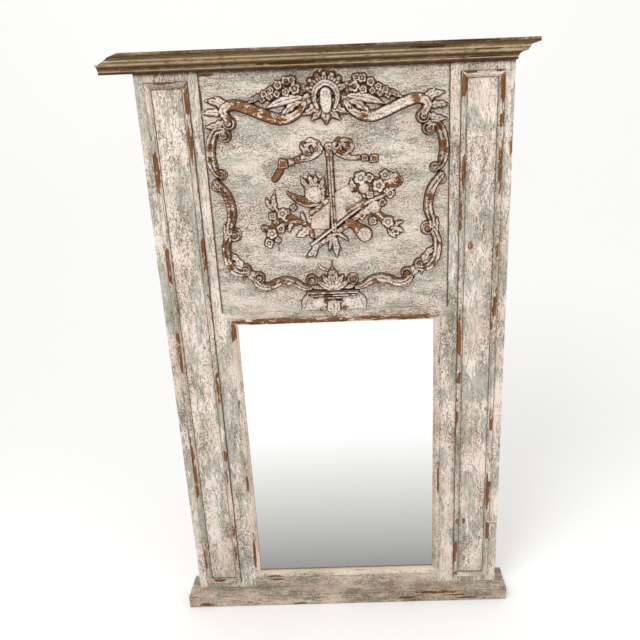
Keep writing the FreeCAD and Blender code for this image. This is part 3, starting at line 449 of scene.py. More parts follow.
dress(["crown_core", "lower_crown_front", "lower_crown_return", "upper_crown_front",
       "upper_crown_return", "crown_end_block", "cap_board"], crown_paint)

# ---------------------------------------------------------------------- carving
# The ornaments are carved from thin limewood and glued on the panel, then painted with
# it. Each is a field of heights over the panel, so its forms run into each other as
# carved ones do. Places are in mm across from the middle and up from the panel's foot.
panel_foot = panel_low.z
mm = 0.001
# in mm: the grid's pitch, how deep a carving's rim lies behind the panel's face, how high
# the paint stands on the panel round it, and the height of the gouge's marks
tool_pitch = 1.0
glue_depth = 1.1
film_height = 0.2
tool_marks = 0.315


def shoulder(inside, radius=3.0):
    """Rise of a carved edge: 0 at the outline and 1 a radius inside it, rounded over."""
    share = np.clip(inside / radius, 0, 1)
    return (share * (2 - share)) ** 0.7


def blurred(values, reach):
    """Gaussian blur: each frequency f of the grid is scaled by exp(-2 (pi reach f)^2)."""
    up_waves = np.fft.fftfreq(values.shape[0])[:, None]
    across_waves = np.fft.rfftfreq(values.shape[1])[None]
    share = np.exp(-2 * (math.pi * reach / tool_pitch) ** 2 * (up_waves ** 2 + across_waves ** 2))
    return np.fft.irfft2(np.fft.rfft2(values) * share, values.shape)


def stand_in(name, mesh, material, body, replaced):
    """Shows a mesh as the piece that takes a CAD node's place and rides on a body."""
    mesh.materials.append(material)
    piece = bpy.data.objects.new(name, mesh)
    bpy.context.scene.collection.objects.link(piece)
    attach(piece, body)
    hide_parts(replaced)


class Relief:
    """Heights over the panel in mm and how far the paint is rubbed, over a box of places."""

    def __init__(self, low, high, side=1):
        across = np.arange(low[0], high[0], tool_pitch)
        self.side = side
        self.across, self.up = np.meshgrid(across, np.arange(low[1], high[1], tool_pitch))
        self.height = np.zeros(self.across.shape)
        self.rubbed = np.zeros(self.across.shape)

    def lay(self, height, rubbed=0.0):
        """Lays a form over the rest: the higher surface shows."""
        over = height > self.height
        self.height = np.where(over, height, self.height)
        self.rubbed = np.where(over, rubbed, self.rubbed)

    def follow(self, points):
        """Share along a smooth curve through the points, mm to its left, and its length.

        The curve is the Catmull-Rom spline; each place takes the nearest spot on it."""
        knots = np.array(points, float)
        knots = np.vstack([2 * knots[0] - knots[1], knots, 2 * knots[-1] - knots[-2]])
        spans, steps = len(points) - 1, 30
        way = np.linspace(0, spans, steps * spans + 1)
        span = np.minimum(way.astype(int), spans - 1)
        part = (way - span)[:, None]
        a, b, c, d = (knots[span + shift] for shift in range(4))
        curve = 0.5 * (2 * b + (c - a) * part + (2 * a - 5 * b + 4 * c - d) * part ** 2
                       + (3 * b - a - 3 * c + d) * part ** 3)
        along = np.gradient(curve, axis=0)
        along /= np.linalg.norm(along, axis=1, keepdims=True)
        travelled = np.concatenate([[0], np.cumsum(np.linalg.norm(np.diff(curve, axis=0), axis=1))])
        place = np.stack([self.across.ravel(), self.up.ravel()], axis=1)
        apart = (curve ** 2).sum(1) - 2 * place @ curve.T
        nearest = apart.argmin(1)
        offset = place - curve[nearest]
        ahead = (offset * along[nearest]).sum(1)
        left = along[nearest, 0] * offset[:, 1] - along[nearest, 1] * offset[:, 0]
        share = (travelled[nearest] + ahead) / travelled[-1]
        shape = self.across.shape
        return share.reshape(shape), left.reshape(shape), travelled[-1]

    def band(self, points, width, height, taper=(1.0, 1.0), dip=0.35, rubbed=0.0):
        """Scroll band: two rims with a hollow between them, its ends narrowed and rounded.

        Across the band the surface is height (1 - dip cos^2 of the way out), rounded at
        the outline. A dip below 0 makes it a roll that is highest along its middle."""
        share, left, length = self.follow(points)
        beyond = np.maximum(np.maximum(share - 1, -share), 0) * length
        middle = np.clip(share, 0, 1)
        half = 0.5 * width * np.interp(middle, [0, 0.3, 0.7, 1], [taper[0], 1, 1, taper[1]])
        out = np.hypot(left, beyond)
        hollow = np.cos(np.clip(out / half, 0, 1) * math.pi / 2 * 1.45) ** 2 * (out < half * 0.69)
        form = 1 - dip * hollow
        self.lay(height * form * shoulder(half - out), rubbed)

    def volute(self, centre, radius, height, turn=1, start=0.0):
        """Coiled end: a ridge that winds in along a log spiral to a raised round eye.

        The ridge makes 1.35 turns while it closes in to 0.3 of the radius; the eye takes
        0.44 of the radius, and is rubbed bare."""
        x, z = self.across - centre[0], self.up - centre[1]
        reach = np.hypot(x, z) + 1e-6
        bearing = np.arctan2(z, x) * turn - start
        winding = 1.35 * math.tau * np.log(reach / radius) / math.log(0.3)
        coil = 0.70 + 0.30 * np.cos(bearing - winding)
        self.lay(height * coil * shoulder(radius - reach))
        eye = radius * 0.44
        dome = np.sqrt(np.clip(1 - (reach / eye) ** 2, 0, 1))
        self.lay(height * (0.55 + 0.5 * dome) * (reach < eye), 1.0)

    def leaf(self, base, tip, width, height, bend=0.0, lobes=0, rubbed=0.0):
        """Leaf from base to tip: an arched blade with a sunk midrib and slanting veins.

        Half its width is sin(pi share^0.8)^0.75, scalloped into lobes; bend curves it."""
        base, tip = np.array(base, float), np.array(tip, float)
        span = tip - base
        length = np.hypot(*span)
        x, z = self.across - base[0], self.up - base[1]
        share = (x * span[0] + z * span[1]) / length ** 2
        middle = np.clip(share, 0, 1)
        left = (span[0] * z - span[1] * x) / length - bend * length * 4 * middle * (1 - middle)
        half = 0.5 * width * np.sin(math.pi * middle ** 0.8) ** 0.75
        if lobes:
            half = half * (0.84 + 0.16 * np.cos(math.tau * lobes * middle))
        half = np.where((share > 0) & (share < 1), half, 0) + 1e-6
        out = np.abs(left) / half
        arch = np.sqrt(np.clip(1 - out ** 2, 0, 1)) ** 0.8
        rib = 0.22 * np.exp(-(left / (0.06 * width + 0.4)) ** 2)
        veins = 0.08 * np.cos(math.tau * (4.5 * middle - 0.9 * out)) * (out > 0.2)
        form = arch * (0.70 + 0.30 * np.sin(math.pi * middle)) - rib - veins
        self.lay(height * form * (out < 1), rubbed)

    def blossom(self, centre, radius, height, petals=5, start=0.0, rubbed=0.0, eye=1.0):
        """Open flower: cupped petals, notched between, round a domed eye.

        The outline swells as |cos| of half the petal angle; the cup rises outwards."""
        x, z = self.across - centre[0], self.up - centre[1]
        reach = np.hypot(x, z)
        wave = np.abs(np.cos(petals * (np.arctan2(z, x) - start) / 2)) ** 0.6
        rim = radius * (0.66 + 0.34 * wave)
        share = np.clip(reach / rim, 0, 1)
        cup = 0.45 + 0.55 * share ** 1.6 - 0.22 * (1 - wave) * share
        self.lay(height * cup * shoulder(rim - reach, 2.2), rubbed)
        dome = np.sqrt(np.clip(1 - (reach / (radius * 0.3)) ** 2, 0, 1))
        self.lay(height * (0.5 + 0.5 * dome) * (dome > 0), eye)

    def ball(self, centre, radius, height, rubbed=0.0):
        """Bud or berry: a dome."""
        reach = np.hypot(self.across - centre[0], self.up - centre[1]) / radius
        self.lay(height * np.sqrt(np.clip(1 - reach ** 2, 0, 1)), rubbed)

    def plate(self, corners, height, rubbed=0.0):
        """Flat form inside straight edges that run anticlockwise."""
        inside = np.full(self.across.shape, 1e3)
        for start, end in zip(corners, corners[1:] + corners[:1]):
            run = np.array(end, float) - start
            left = run[0] * (self.up - start[1]) - run[1] * (self.across - start[0])
            inside = np.minimum(inside, left / np.hypot(*run))
        self.lay(height * shoulder(inside, 2.0), rubbed)

    def finish(self, node, seed, bare=()):
        """Makes the relief a closed mesh, with its worn and grimy values, in a node's place.

        The paint is rubbed off ridges and, partly as painted shade, off steep sides, except
        where rubbed is below 0; hollows and steep sides are darkened with grime and painted
        shade. A film of paint 0.2 mm thick runs 5 mm out over the panel, darkened with grime
        and painted shade round the carving, and the rim is sunk behind the panel's face. bare
        is (across, up, radius) of places rubbed to the wood."""
        # what stands over 0.3 mm is carved, with gouge marks some 10 mm apart, and the film
        # fades out where few places near are carved
        chance = np.random.default_rng(seed)
        grain = blurred(chance.standard_normal(self.height.shape), 2.2)
        carved = self.height > 0.3
        height = np.where(carved, self.height + tool_marks * grain / grain.std(), 0)
        near = blurred(carved.astype(float), 3.0)
        film = film_height + glue_depth
        ground = np.clip((near - 0.012) / 0.04, 0, 1) * film - glue_depth
        height = np.where(carved, np.maximum(height, film_height + 0.1), ground)

        # grime and painted shade lie where the surface is under its own blur, round the carving's
        # foot and on steep sides; wear lies where it stands over it, and the bare wood on steep
        # sides is partly painted shade
        solid = np.maximum(height, 0)
        hollows = np.clip((blurred(solid, 2.4) - solid - 0.1) / 0.9, 0, 1)
        foot_grime_and_shade = np.clip(blurred(carved.astype(float), 1.8) * 2.6 - 0.2, 0, 1) * ~carved
        ridges = np.clip((solid - blurred(solid, 4.0) - 0.4) / 3.0, 0, 1) * 0.7
        steep = np.clip((np.hypot(*np.gradient(blurred(solid, 0.7))) - 0.9) / 1.3, 0, 1)
        # steep sides show the wood partly as painted shade
        worn = np.maximum(np.maximum(self.rubbed, ridges), 0.8 * steep)
        worn = np.where(self.rubbed < 0, 0, worn) * carved
        for across, up, radius in bare:
            reach = np.hypot(self.across - across, self.up - up) / radius
            worn = np.maximum(worn, np.clip(1.35 - 0.75 * reach, 0, 1) * carved)
        # painted shade with grime in hollows, round the foot and on steep sides
        grime_and_shade = np.maximum(np.maximum(hollows, foot_grime_and_shade), 0.6 * steep)

        # each cell with a corner over the rim's depth has a face in front and one behind,
        # and a wall closes them where the next cell is empty
        tall = height > -glue_depth + 0.02
        cell = tall[:-1, :-1] | tall[1:, :-1] | tall[:-1, 1:] | tall[1:, 1:]
        used = np.zeros(height.shape, bool)
        for rows in (slice(None, -1), slice(1, None)):
            for columns in (slice(None, -1), slice(1, None)):
                used[rows, columns] |= cell
        number = np.cumsum(used).reshape(used.shape) - 1
        count = int(used.sum())
        a, b = number[:-1, :-1][cell], number[:-1, 1:][cell]
        c, d = number[1:, 1:][cell], number[1:, :-1][cell]
        faces = [np.stack([a, b, c, d], 1), np.stack([d, c, b, a], 1) + count]
        around = np.pad(cell, 1)
        for start, end, neighbour in ((a, b, around[:-2, 1:-1]), (b, c, around[1:-1, 2:]),
                                      (c, d, around[2:, 1:-1]), (d, a, around[1:-1, :-2])):
            rim = ~neighbour[cell]
            start, end = start[rim], end[rim]
            faces.append(np.stack([end, start, start + count, end + count], 1))
        faces = np.vstack(faces)
        front = np.stack([self.across[used] * self.side * mm, panel_face - height[used] * mm,
                          panel_foot + self.up[used] * mm], axis=1)
        back = front.copy()
        back[:, 1] = panel_face + (glue_depth + 0.4) * mm
        points = np.vstack([front, back])
        if self.side < 0:
            faces = faces[:, ::-1]

        mesh = bpy.data.meshes.new(node + "_relief")
        mesh.vertices.add(len(points))
        mesh.vertices.foreach_set("co", points.ravel())
        mesh.loops.add(faces.size)
        mesh.loops.foreach_set("vertex_index", faces.ravel())
        mesh.polygons.add(len(faces))
        mesh.polygons.foreach_set("loop_start", np.arange(0, faces.size, 4))
        mesh.polygons.foreach_set("use_smooth", np.ones(len(faces), bool))
        mesh.update(calc_edges=True)
        mesh.validate()
        for label, values in (("worn", worn), ("grime_and_shade", grime_and_shade)):
            layer = mesh.attributes.new(label, "FLOAT", "POINT")
            layer.data.foreach_set("value", np.tile(values[used], 2).astype(np.float32))
        stand_in(node + "_relief", mesh, carving_paint, "mirror_frame", node)


carving_paint = aged_paint("chalk_paint_on_carving", grain="X", grey=0.2, carved=True)
scroll_width, scroll_height = 27, 15

# Shell crest: a horseshoe round a keyhole boss, under a fan of lobes, with a pointed
# drop below and a curled leaf on each side. It hides the joint of the two top scrolls.
crest = Relief((-86, 512), (92, 662))
crest_height = 23
crest.ball((3, 628), 35, 7, rubbed=0.9)
for side in (-1, 1):
    crest.leaf((16 * side, 600), (74 * side, 560), 36, 5, rubbed=0.7)
for angle, reach, wide, rub in ((-78, 56, 26, 0.3), (-52, 58, 26, 0.9), (-26, 56, 24, 1.0),
                                (-2, 54, 22, 0.2), (24, 56, 24, 0.3), (48, 58, 26, 0.5),
                                (74, 60, 26, 0.2)):
    bearing = math.radians(90 - angle)
    tip = (2 + reach * math.cos(bearing), 600 + reach * math.sin(bearing))
    crest.leaf((2, 600), tip, wide, crest_height * 0.75, rubbed=rub * 0.6)
    crest.ball((2 + (reach - 9) * math.cos(bearing), 600 + (reach - 9) * math.sin(bearing)), 8,
               crest_height * 0.85, rubbed=rub * 0.8)
for side in (-1, 1):
    crest.leaf((10 * side, 592), (64 * side, 546), 30, crest_height * 0.7, -0.14 * side,
               lobes=4, rubbed=0.35)
    crest.leaf((8 * side, 575), (40 * side, 530), 24, crest_height * 0.6, -0.10 * side,
               lobes=3, rubbed=0.4)
crest.leaf((2, 578), (1, 519), 36, crest_height * 0.75, lobes=3, rubbed=0.5)
crest.band([(-20, 562), (-28, 585), (-22, 610), (3, 624), (28, 610), (34, 585), (26, 562)], 19,
           crest_height, taper=(0.6, 0.6), dip=0.12, rubbed=0.05)
crest.band([(3, 560), (3, 598)], 33, crest_height * 0.98, taper=(0.8, 0.95), dip=-0.1, rubbed=-1)
crest.finish("shell_crest", 1, bare=[(-30, 646, 22), (-4, 528, 9)])

# Top scrolls: a deep S that falls from the crest, swells, and rolls in at each corner,
# with three small leaves behind its roll. The left one is rubbed bare along its back.
top_route = [(262, 543), (272, 560), (262, 573), (240, 577), (205, 567), (160, 548), (124, 537),
             (92, 541), (68, 556), (54, 574)]
for name, side, bare in (("left", -1, [(230, 572, 34), (192, 560, 28), (156, 547, 24),
                                       (120, 537, 20), (66, 562, 14), (254, 546, 16)]),
                         ("right", 1, [(240, 576, 16), (104, 541, 18), (66, 560, 10)])):
    scroll = Relief((36, 508), (336, 602), side)
    for base, tip, bend in (((262, 566), (320, 590), 0.12), ((272, 556), (329, 558), 0.06),
                            ((268, 540), (325, 524), -0.10), ((266, 570), (292, 600), 0.1)):
        scroll.leaf(base, tip, 22, scroll_height * 0.75, bend, lobes=3, rubbed=0.35)
    scroll.band(top_route, scroll_width, scroll_height, taper=(0.75, 0.55), dip=0.16)
    scroll.leaf((120, 528), (48, 580), 24, scroll_height * 0.95, -0.16, lobes=4, rubbed=0.3)
    scroll.volute((259, 532), 18, scroll_height, turn=-1, start=1.0)
    scroll.finish(name + "_top_scroll", 10 + side, bare)

# Side scrolls: three C-shaped bands down each side, each with a coil at both ends where
# they butt against the next, and a long leaf that turns the lower corner.
for name, side, bare in (("left", -1, [(312, 470, 14), (318, 440, 10), (300, 404, 10)]),
                         ("right", 1, [(300, 505, 14), (314, 455, 26), (306, 410, 12)])):
    scroll = Relief((246, 376), (336, 528), side)
    scroll.band([(276, 514), (296, 512), (310, 490), (316, 460), (316, 430), (308, 406),
                 (294, 394)], scroll_width * 0.85, scroll_height, taper=(0.7, 0.6), dip=0.4)
    scroll.leaf((316, 486), (300, 418), 18, scroll_height * 0.9, 0.10, lobes=4, rubbed=0.5)
    scroll.volute((275, 501), 18, scroll_height, turn=-1, start=2.4)
    scroll.volute((290, 398), 13, scroll_height, turn=1, start=-1.0)
    scroll.finish(name + "_upper_side_scroll", 20 + side, bare)
for name, side, bare in (("left", -1, [(284, 330, 26), (276, 290, 20), (270, 246, 14),
                                       (300, 352, 14)]),
                         ("right", 1, [(280, 320, 14), (276, 262, 10)])):
    scroll = Relief((244, 206), (336, 394), side)
    scroll.band([(309, 378), (296, 362), (282, 340), (275, 312), (274, 284), (282, 258),
                 (284, 240)], scroll_width * 0.85, scroll_height, taper=(0.7, 0.8), dip=0.35)
    scroll.leaf((296, 352), (276, 282), 18, scroll_height * 0.95, -0.12, lobes=4, rubbed=0.5)
    scroll.leaf((300, 262), (302, 206), 16, scroll_height * 0.7, -0.1, lobes=3, rubbed=0.2)
    scroll.volute((309, 366), 14, scroll_height, turn=1, start=1.2)
    scroll.volute((271, 232), 19, scroll_height, turn=-1, start=-0.5)
    scroll.finish(name + "_middle_side_scroll", 30 + side, bare)
for name, side, bare in (("left", -1, [(294, 204, 20), (298, 176, 14), (290, 140, 14),
                                       (252, 112, 10)]),
                         ("right", 1, [(300, 190, 10), (288, 132, 10), (262, 118, 8)])):
    scroll = Relief((196, 52), (336, 246), side)
    scroll.leaf((292, 152), (212, 66), 30, scroll_height * 0.7, -0.14, lobes=5, rubbed=0.2)
    scroll.leaf((306, 186), (256, 92), 22, scroll_height * 0.6, -0.18, lobes=4, rubbed=0.15)
    scroll.band([(288, 224), (298, 200), (299, 172), (292, 144), (276, 124), (254, 118),
                 (240, 124)], scroll_width * 0.85, scroll_height, taper=(0.8, 0.6), dip=0.3)
    scroll.volute((248, 131), 15, scroll_height, turn=1, start=0.6)
    scroll.finish(name + "_lower_side_scroll", 40 + side, bare)

# Bottom scrolls: a low wave on each side that rises from the urn, with a leaf along its
# crest, and rolls into a coil beside the lower side scroll.
for name, side, bare in (("left", -1, [(176, 88, 16), (140, 92, 14), (110, 86, 10)]),
                         ("right", 1, [(206, 104, 10), (120, 84, 12), (170, 90, 8)])):
    scroll = Relief((54, 50), (238, 128), side)
    scroll.leaf((228, 82), (184, 66), 16, scroll_height * 0.6, 0.1, lobes=3)
    scroll.band([(222, 92), (206, 80), (184, 78), (160, 88), (134, 94), (108, 86), (86, 72),
                 (66, 68)], scroll_width * 0.82, scroll_height, taper=(0.8, 0.5), dip=0.25)
    scroll.leaf((176, 92), (104, 96), 12, scroll_height, 0.14, rubbed=0.6)
    scroll.volute((213, 105), 17, scroll_height, turn=-1, start=3.0)
    scroll.finish(name + "_bottom_scroll", 50 + side, bare)

# Garlands: a heap of small blossoms that thins out along the top of each S scroll, over
# a smooth pod. The ground between the flowers has lost its paint.
blooms = [(78, 612, 16), (100, 632, 13), (102, 604, 12), (84, 634, 11), (122, 622, 13),
          (126, 600, 10), (142, 610, 11), (146, 594, 10), (160, 602, 10), (166, 588, 9),
          (178, 594, 9), (190, 588, 8)]
for name, side, bare in (("left", -1, [(96, 622, 14)]), ("right", 1, [(76, 610, 9)])):
    swag = Relief((40, 552), (214, 658), side)
    swag.band([(60, 612), (100, 618), (140, 604), (188, 588)], 30, 4, taper=(0.8, 0.3), dip=0,
              rubbed=0.8)
    swag.leaf((58, 590), (158, 566), 24, 11, 0.05)
    swag.leaf((186, 590), (206, 580), 9, 7, rubbed=0.3)
    for index, (across, height_up, radius) in enumerate(blooms):
        swag.blossom((across, height_up), radius, 11 + radius * 0.25, 5 - index % 2, index * 0.9,
                     rubbed=0.12 + 0.3 * (index % 3 == 0), eye=0.9 * (index % 2))
    swag.finish(name + "_garland", 60 + side, bare)

# Flower urn: a shallow bowl with a shell between two coils, on a slab with a stepped
# foot and a flared bracket that stands on the rail over the glass.
urn = Relief((-106, -22), (102, 150))
urn_height = 17
urn.plate([(-98, 0), (94, 0), (74, 52), (-78, 52)], 4.0)
for side in (-1, 1):
    urn.leaf((72 * side, 50), (90 * side, 2), 14, 8, 0.12 * side, rubbed=0.3)
    urn.ball((46 * side, 26), 21, 7.5)
    urn.leaf((22 * side, 8), (44 * side, 0), 12, 9, rubbed=0.9)
urn.plate([(-22, -2), (20, -2), (16, 30), (-18, 30)], 11)
urn.plate([(-28, 24), (24, 24), (24, 30), (-28, 30)], 12.5, 0.3)
urn.plate([(-26, 36), (24, 36), (26, 42), (-28, 42)], 13.5, 0.3)
urn.leaf((-1, 34), (-1, -20), 40, 15, lobes=3, rubbed=0.1)
urn.leaf((-72, 80), (70, 80), 46, 8, rubbed=1.2)
urn.plate([(-64, 43), (62, 43), (70, 50), (-72, 50)], 13, 0.8)
urn.plate([(-76, 51), (72, 51), (74, 59), (-78, 59)], urn_height, 0.5)
for angle in (-62, -36, -12, 12, 36, 62):
    bearing = math.radians(90 - angle)
    tip = (52 * math.cos(bearing), 62 + 56 * math.sin(bearing))
    urn.leaf((0, 62), tip, 22, urn_height * 0.95, rubbed=0.15)
urn.blossom((1, 88), 17, urn_height, 5, 0.3, rubbed=0.2)
urn.leaf((0, 104), (-2, 130), 18, 12, rubbed=0.5)
urn.leaf((-12, 118), (-44, 146), 9, 5, 0.15)
for side in (-1, 1):
    urn.volute((59 * side - 3, 93), 16, urn_height * 0.9, turn=-side, start=0.4)
    urn.leaf((62 * side, 74), (30 * side, 66), 14, 13, rubbed=0.4)
urn.finish("flower_urn", 70, bare=[(-50, 48, 14), (48, 48, 12)])

# Trophy: a quiver or torch crossed with a hunting horn behind a fluted staff, with a
# sheet between them, and leaves that hang from the crossing.
quiver = Relief((-86, 148), (124, 374))
quiver.plate([(-58, 240), (-4, 238), (2, 320), (-46, 288)], 3.0)
quiver.plate([(12, 252), (98, 304), (62, 362), (14, 338)], 3.0)
quiver.band([(-56, 272), (-34, 276), (-12, 284)], 7, 5, dip=0, rubbed=0.5)
quiver.band([(-52, 286), (-30, 300), (-2, 322)], 13, 8, dip=-0.1, rubbed=0.8)
quiver.band([(-44, 188), (4, 220), (54, 254), (108, 296)], 14, 8, dip=-0.1, rubbed=0.75)
quiver.band([(52, 290), (84, 306)], 15, 6, dip=0, rubbed=1.0)
quiver.band([(-56, 196), (0, 236), (52, 274), (108, 312)], 8, 13, dip=0.2, rubbed=-1)
quiver.blossom((100, 302), 17, 11, 4, 0.5, rubbed=0.7)
quiver.leaf((-40, 206), (-76, 158), 20, 11, 0.12, lobes=3, rubbed=0.3)
quiver.leaf((-36, 204), (-50, 156), 20, 11, -0.08, lobes=3, rubbed=0.3)
for base, tip, wide, bend in (((2, 224), (14, 154), 22, 0.05), ((8, 224), (28, 176), 17, -0.1),
                              ((0, 226), (-24, 200), 16, 0.1), ((12, 226), (50, 200), 12, 0.1),
                              ((4, 226), (-8, 172), 14, 0.0)):
    quiver.leaf(base, tip, wide, 11, bend, lobes=3, rubbed=0.25)
quiver.finish("quiver", 81, bare=[(94, 300, 10)])

horn = Relief((28, 190), (126, 272))
horn.band([(38, 262), (54, 256), (70, 244), (84, 231)], 24, 12, taper=(0.3, 1.5), dip=-0.15,
          rubbed=1.0)
# its mouth is a round shield, dished towards the middle, that has kept its paint
mouth = np.hypot(horn.across - 95, horn.up - 221)
horn.lay(15.5 * shoulder(20 - mouth) * (1 - 0.14 * np.clip(1.15 - mouth / 16, 0, 1)), -1)
horn.finish("horn", 82)

staff = Relief((-12, 228), (26, 466))
staff.band([(5, 454), (7, 350), (10, 236)], 16, 13, dip=0.3, rubbed=0.12)
staff.band([(5, 458), (5, 438)], 19, 14.5, dip=0.2, rubbed=0.9)
staff.finish("staff", 83, bare=[(12, 330, 7), (13, 300, 6), (11, 262, 7)])

# Ribbon bow: two crumpled loops from a knot at the head of the staff, and two tails
# folded across, the left one with its end hanging loose.
bow = Relief((-162, 366), (152, 500))
chance = np.random.default_rng(84)
for side in (-1, 1):
    for index in range(16):
        angle = index * math.tau / 10 + chance.uniform(-0.3, 0.3)
        out = 1.0 if index < 10 else 0.4
        heart = np.array([44 * side + 25 * out * math.cos(angle), 461 + 17 * out * math.sin(angle)])
        angle += math.pi / 2 + chance.uniform(-0.6, 0.6)
        half = np.array([math.cos(angle), math.sin(angle)]) * chance.uniform(9, 14)
        bow.leaf(heart - half, heart + half, chance.uniform(9, 13), chance.uniform(6, 13),
                 chance.uniform(-0.2, 0.2), rubbed=(-1, 1.0, 0.2)[index % 3])
    bow.band([(18 * side, 452), (34 * side, 440), (58 * side, 436)], 12, 8, taper=(0.6, 0.8),
             dip=0.2)
    bow.band([(18 * side, 448), (48 * side, 433), (86 * side, 429)], 11, 6, taper=(0.6, 0.9),
             dip=0.2, rubbed=0.1)
bow.band([(-126, 412), (-136, 396), (-148, 380)], 17, 8, taper=(0.7, 0.9), dip=0.1, rubbed=1.2)
# the tails are folded on themselves, and the middles of the folds are rubbed bare
for across, height_up, wide, rub in ((-122, 421, 24, 1.3), (-100, 425, 17, 0.2), (-83, 430, 16, 1.2),
                                     (-66, 436, 14, 0.2), (84, 431, 12, 0.2), (101, 430, 17, 1.2),
                                     (126, 427, 22, 1.3)):
    half = wide * 0.5
    skew = chance.uniform(-0.22, 0.22, (4, 2)) * half
    for share, thick, rubbed in ((1.0, 9.0, 0.0), (0.74, 11.0, rub)):
        square = np.array([(-1, -1), (1, -0.9), (0.9, 1), (-0.9, 1)]) * half + skew
        bow.plate([(across + x * share, height_up + z * share) for x, z in square], thick, rubbed)
bow.ball((5, 461), 12, 12)
bow.finish("ribbon_bow", 84, bare=[(28, 450, 8), (-50, 444, 10), (8, 452, 7)])

# Plumed hat: a round crown with a turned-up brim and five short plumes, hung left of the
# staff. Its brim and the ground behind its plumes are worn to the wood.
hat = Relief((-124, 296), (-4, 400))
hat.ball((-44, 358), 27, 5, rubbed=0.9)
hat.leaf((-30, 300), (-10, 362), 22, 6, rubbed=1.3)
for base, tip, wide, bend in (((-44, 348), (-76, 386), 20, 0.1), ((-42, 352), (-54, 392), 18, 0.0),
                              ((-36, 352), (-36, 388), 18, 0.0), ((-30, 350), (-14, 382), 18, -0.1),
                              ((-26, 340), (-8, 352), 14, 0.0)):
    hat.leaf(base, tip, wide, 13, bend, lobes=3, rubbed=0.4)
hat.leaf((-18, 312), (-12, 362), 16, 11, 0.1, rubbed=0.5)
hat.ball((-42, 336), 26, 16)
hat.leaf((-36, 312), (-118, 346), 22, 13, 0.10, rubbed=0.9)
hat.leaf((-30, 308), (-96, 322), 12, 10, 0.10, rubbed=0.1)
hat.finish("plumed_hat", 85, bare=[(-80, 332, 16), (-58, 372, 6), (-30, 368, 6)])

# Flower sprays: blossoms, buds and leaves on stalks that spring from the crossing, one on
# each side. The broad ground under them is worn to the wood.
spray = Relief((-204, 180), (-44, 356))
spray.band([(-96, 262), (-128, 280), (-150, 262), (-164, 236), (-178, 206)], 24, 4, dip=0,
           rubbed=1.2)
spray.band([(-52, 218), (-60, 244), (-80, 260), (-112, 262), (-142, 252)], 12, 9, dip=0, rubbed=0.9)
spray.band([(-112, 262), (-130, 270), (-150, 300)], 8, 7, dip=0, rubbed=0.4)
for base, tip, wide, bend in (
        ((-150, 296), (-150, 346), 18, 0.1), ((-156, 296), (-176, 334), 14, 0.1),
        ((-60, 250), (-100, 220), 28, 0.12), ((-104, 262), (-118, 232), 16, -0.1),
        ((-70, 262), (-78, 292), 14, 0.1), ((-172, 244), (-196, 254), 12, 0.0)):
    spray.leaf(base, tip, wide, 10, bend, lobes=3, rubbed=0.25)
for index, (across, height_up, radius, petals) in enumerate((
        (-133, 286, 16, 5), (-161, 280, 12, 4), (-101, 302, 10, 4), (-166, 231, 16, 5),
        (-140, 244, 13, 5), (-176, 204, 14, 4), (-186, 246, 10, 4), (-152, 262, 9, 4),
        (-118, 290, 8, 4), (-150, 212, 9, 4))):
    spray.blossom((across, height_up), radius, 11 + index % 3, petals, index * 0.7,
                  rubbed=0.15, eye=0.8 * (index % 2 == 0))
spray.finish("left_flower_spray", 86, bare=[(-184, 242, 9), (-150, 256, 8)])
spray = Relief((46, 204), (216, 406))
spray.band([(72, 344), (96, 368), (132, 362), (160, 352), (190, 364)], 28, 4, dip=0, rubbed=1.2)
spray.band([(92, 290), (122, 284), (154, 256), (188, 226)], 22, 4, dip=0, rubbed=1.2)
spray.band([(60, 292), (92, 306), (128, 318), (160, 330)], 10, 7, dip=0, rubbed=0.5)
spray.band([(112, 300), (140, 270), (180, 236)], 8, 6, dip=0, rubbed=0.4)
for base, tip, wide, bend in (((150, 364), (206, 366), 36, 0.15), ((74, 344), (62, 376), 18, 0.1),
                              ((168, 236), (206, 222), 16, 0.1), ((178, 240), (206, 254), 14, 0.1),
                              ((160, 232), (186, 208), 14, -0.1), ((64, 336), (92, 318), 16, 0.1),
                              ((150, 336), (182, 346), 16, 0.0)):
    spray.leaf(base, tip, wide, 10, bend, lobes=3, rubbed=0.4)
for index, (across, height_up, radius, petals) in enumerate((
        (137, 354, 19, 5), (161, 253, 18, 5), (168, 332, 14, 4), (88, 376, 20, 5),
        (112, 376, 13, 4), (155, 382, 15, 5), (88, 274, 13, 4), (118, 257, 13, 4),
        (146, 308, 12, 4), (112, 330, 12, 4), (182, 226, 12, 5), (66, 352, 11, 4),
        (184, 364, 11, 4))):
    spray.blossom((across, height_up), radius, 11 + index % 3, petals, index * 0.8,
                  rubbed=0.15, eye=0.9 * (index % 2 == 0))
spray.ball((96, 348), 15, 13)
spray.ball((124, 296), 18, 14)
spray.ball((104, 284), 10, 11)
spray.finish("right_flower_spray", 87, bare=[(192, 364, 12), (72, 344, 9), (150, 296, 8)])

# -------------------------------------------------------------------- hangers
# Two steel straps on the upright battens, each rolled round a D-shaped wire ring that
# swings up to hang the mirror, and held by two pan-head screws with crossed slots.
zinc, tree, place = new_finish("zinc_plated_steel")
